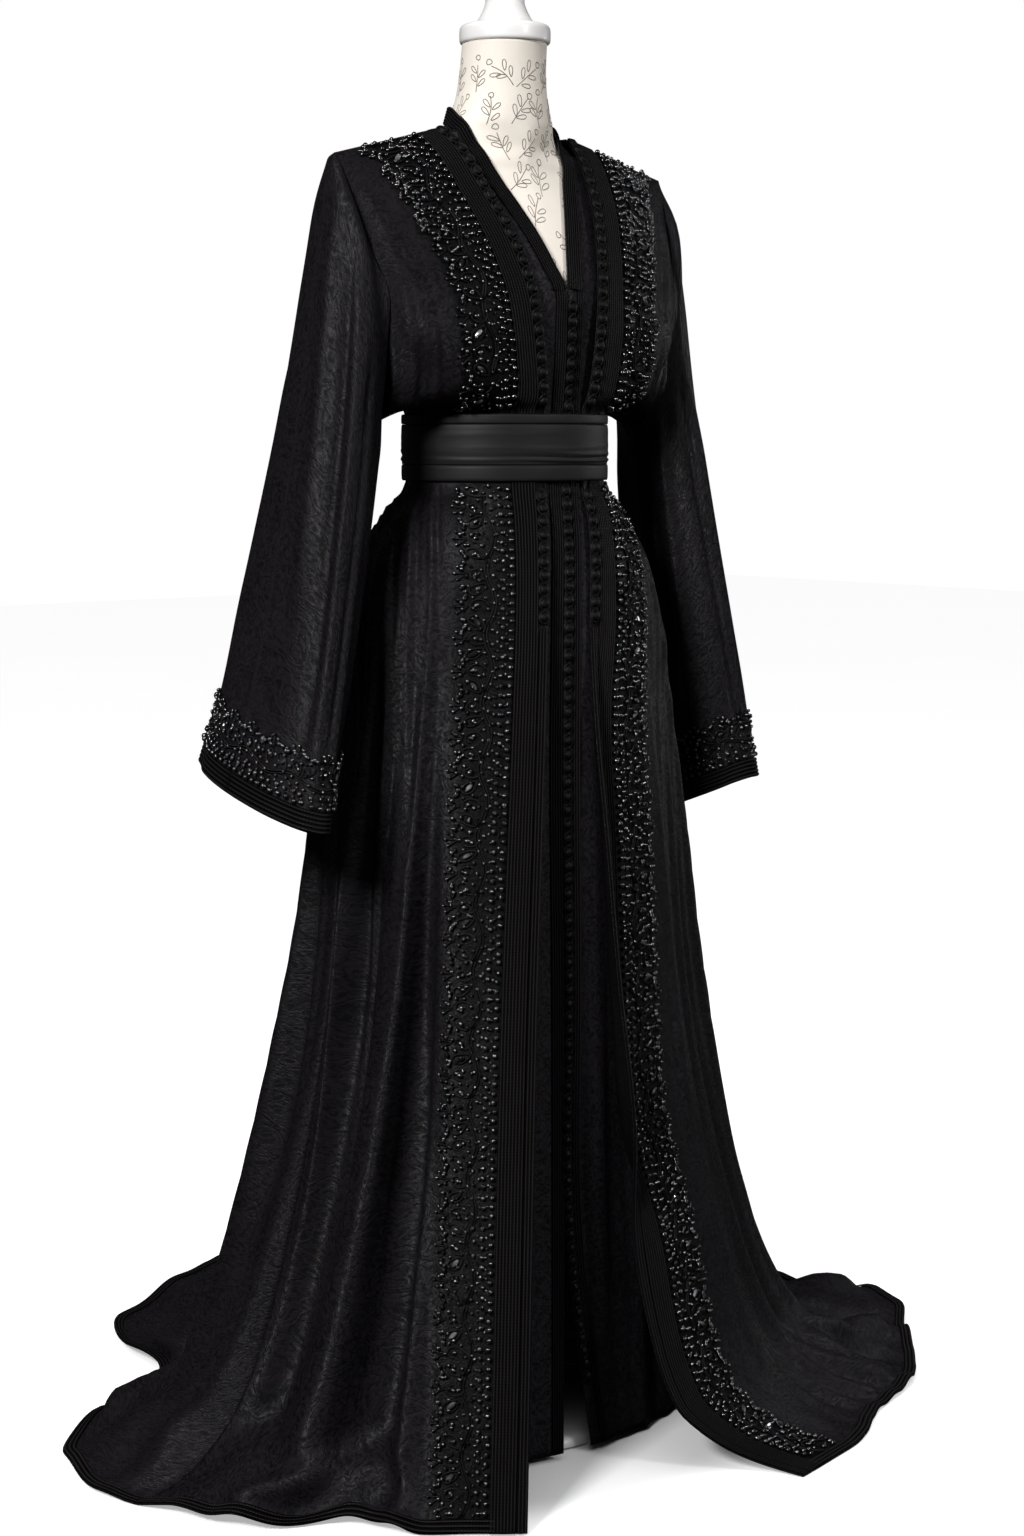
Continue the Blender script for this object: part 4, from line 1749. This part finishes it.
def belt_ring(name, top, foot, profile, material, node, wrinkles):
    """A belt band: its section goes round the waist's ellipse, with long soft wrinkles."""
    angle = np.arange(BELT_COLUMNS) * 360 / BELT_COLUMNS
    t = np.linspace(0, 1, 40 if wrinkles else 9)
    bulge = np.interp(t, [p[0] for p in profile], [p[1] for p in profile])
    base_side, base_depth = OVER_SIDE + BELT_SEAT, OVER_DEPTH + BELT_SEAT
    a, share = np.meshgrid(angle, t)
    z, turn = mix(top, foot, share), np.radians(a)
    out = BELT_WALL + bulge[:, None] + 0 * a
    for centre, drift, width, depth, phase in wrinkles:
        line = centre + drift * np.sin(turn + phase) + 0.012 * np.sin(turn * 5 + phase)
        out = out + depth * bell((share - line) / width) * (0.6 + 0.4 * np.sin(turn * 2 + phase))
    edge = smooth_step(0, 0.03, share) * smooth_step(1, 0.97, share)
    out = out * (0.7 + 0.3 * edge)
    outer = polar(a, section_radius(a, base_side, base_depth, base_depth) + out, z)
    a, z_inner = np.meshgrid(angle, np.linspace(foot, top, 2 + len(t) % 2))
    inner = polar(a, section_radius(a, base_side, base_depth, base_depth), z_inner)
    section = np.concatenate([outer, inner]).transpose(1, 0, 2)
    points, faces = tube_mesh(section, True)
    u = np.broadcast_to((angle / 360 * BELT_ROUND)[:, None], section.shape[:2])
    v = np.concatenate([z, z_inner]).T
    piece = make_mesh(name, points, faces, material, uv_of(u, v))
    return made(piece, "satin", node)


class GOWN_OT_belt(bpy.types.Operator):
    """Makes the satin belt: an edge strip, the wrapped centre and a lower strip"""
    bl_idname = "gown.belt"
    bl_label = "Belt"

    def execute(self, context):
        material = finish("satin")
        pieces = [
            belt_ring("belt_edge_upper", BELT_TOP, BELT_TOP - BELT_EDGE_TOP, [(0, 0), (0.5, 0.3), (1, 0.1)], material,
                      "belt_top", []),
            belt_ring("belt_centre", BELT_TOP - BELT_EDGE_TOP - SEAM, BELT_BOTTOM + BELT_EDGE_BOTTOM + SEAM,
                      [(0, -0.3), (0.1, 0.2), (0.5, 0.5), (0.9, 0.2), (1, -0.2)], material, "belt_wrap",
                      [(0.70, 0.05, 0.045, 0.8, 0.3), (0.80, 0.04, 0.035, -1.2, 0.8), (0.88, 0.02, 0.035, 1.2, 0.2),
                       (0.95, 0.01, 0.025, -1.0, 1.2), (0.52, 0.08, 0.06, 0.5, 2.0), (0.25, 0.07, 0.08, 0.4, 4.0)]),
            belt_ring("belt_edge_lower", BELT_BOTTOM + BELT_EDGE_BOTTOM, BELT_BOTTOM, [(0, 0.2), (0.5, 0.3), (1, 0)],
                      material, "belt_bottom", []),
        ]
        return {"FINISHED"}


STEPS = ("stage", "form", "stand", "under_gown", "outer_gown", "sleeves", "braid", "buttons", "beadwork", "belt")


class GOWN_PT_panel(bpy.types.Panel):
    """Lists the gown's sizes, colours and pieces"""
    bl_idname = "GOWN_PT_panel"
    bl_label = "Takchita"
    bl_space_type = "VIEW_3D"
    bl_region_type = "UI"
    bl_category = "Gown"

    def draw(self, context):
        for group in (context.scene.gown_sizes, context.scene.gown_colours):
            box = self.layout.box()
            for name in group.__annotations__:
                box.prop(group, name)
        for step in STEPS:
            self.layout.operator("gown." + step)


CLASSES = (GownSizes, GownColours, GOWN_OT_stage, GOWN_OT_form, GOWN_OT_stand, GOWN_OT_under_gown,
           GOWN_OT_outer_gown, GOWN_OT_sleeves, GOWN_OT_braid, GOWN_OT_buttons, GOWN_OT_beadwork, GOWN_OT_belt,
           GOWN_PT_panel)


def register():
    for item in CLASSES:
        bpy.utils.register_class(item)
    bpy.types.Scene.gown_sizes = PointerProperty(type=GownSizes)
    bpy.types.Scene.gown_colours = PointerProperty(type=GownColours)


def unregister():
    del bpy.types.Scene.gown_sizes
    del bpy.types.Scene.gown_colours
    for item in reversed(CLASSES):
        bpy.utils.unregister_class(item)


def main():
    register()
    for step in STEPS:
        getattr(bpy.ops.gown, step)()


if __name__ == "__main__":
    main()
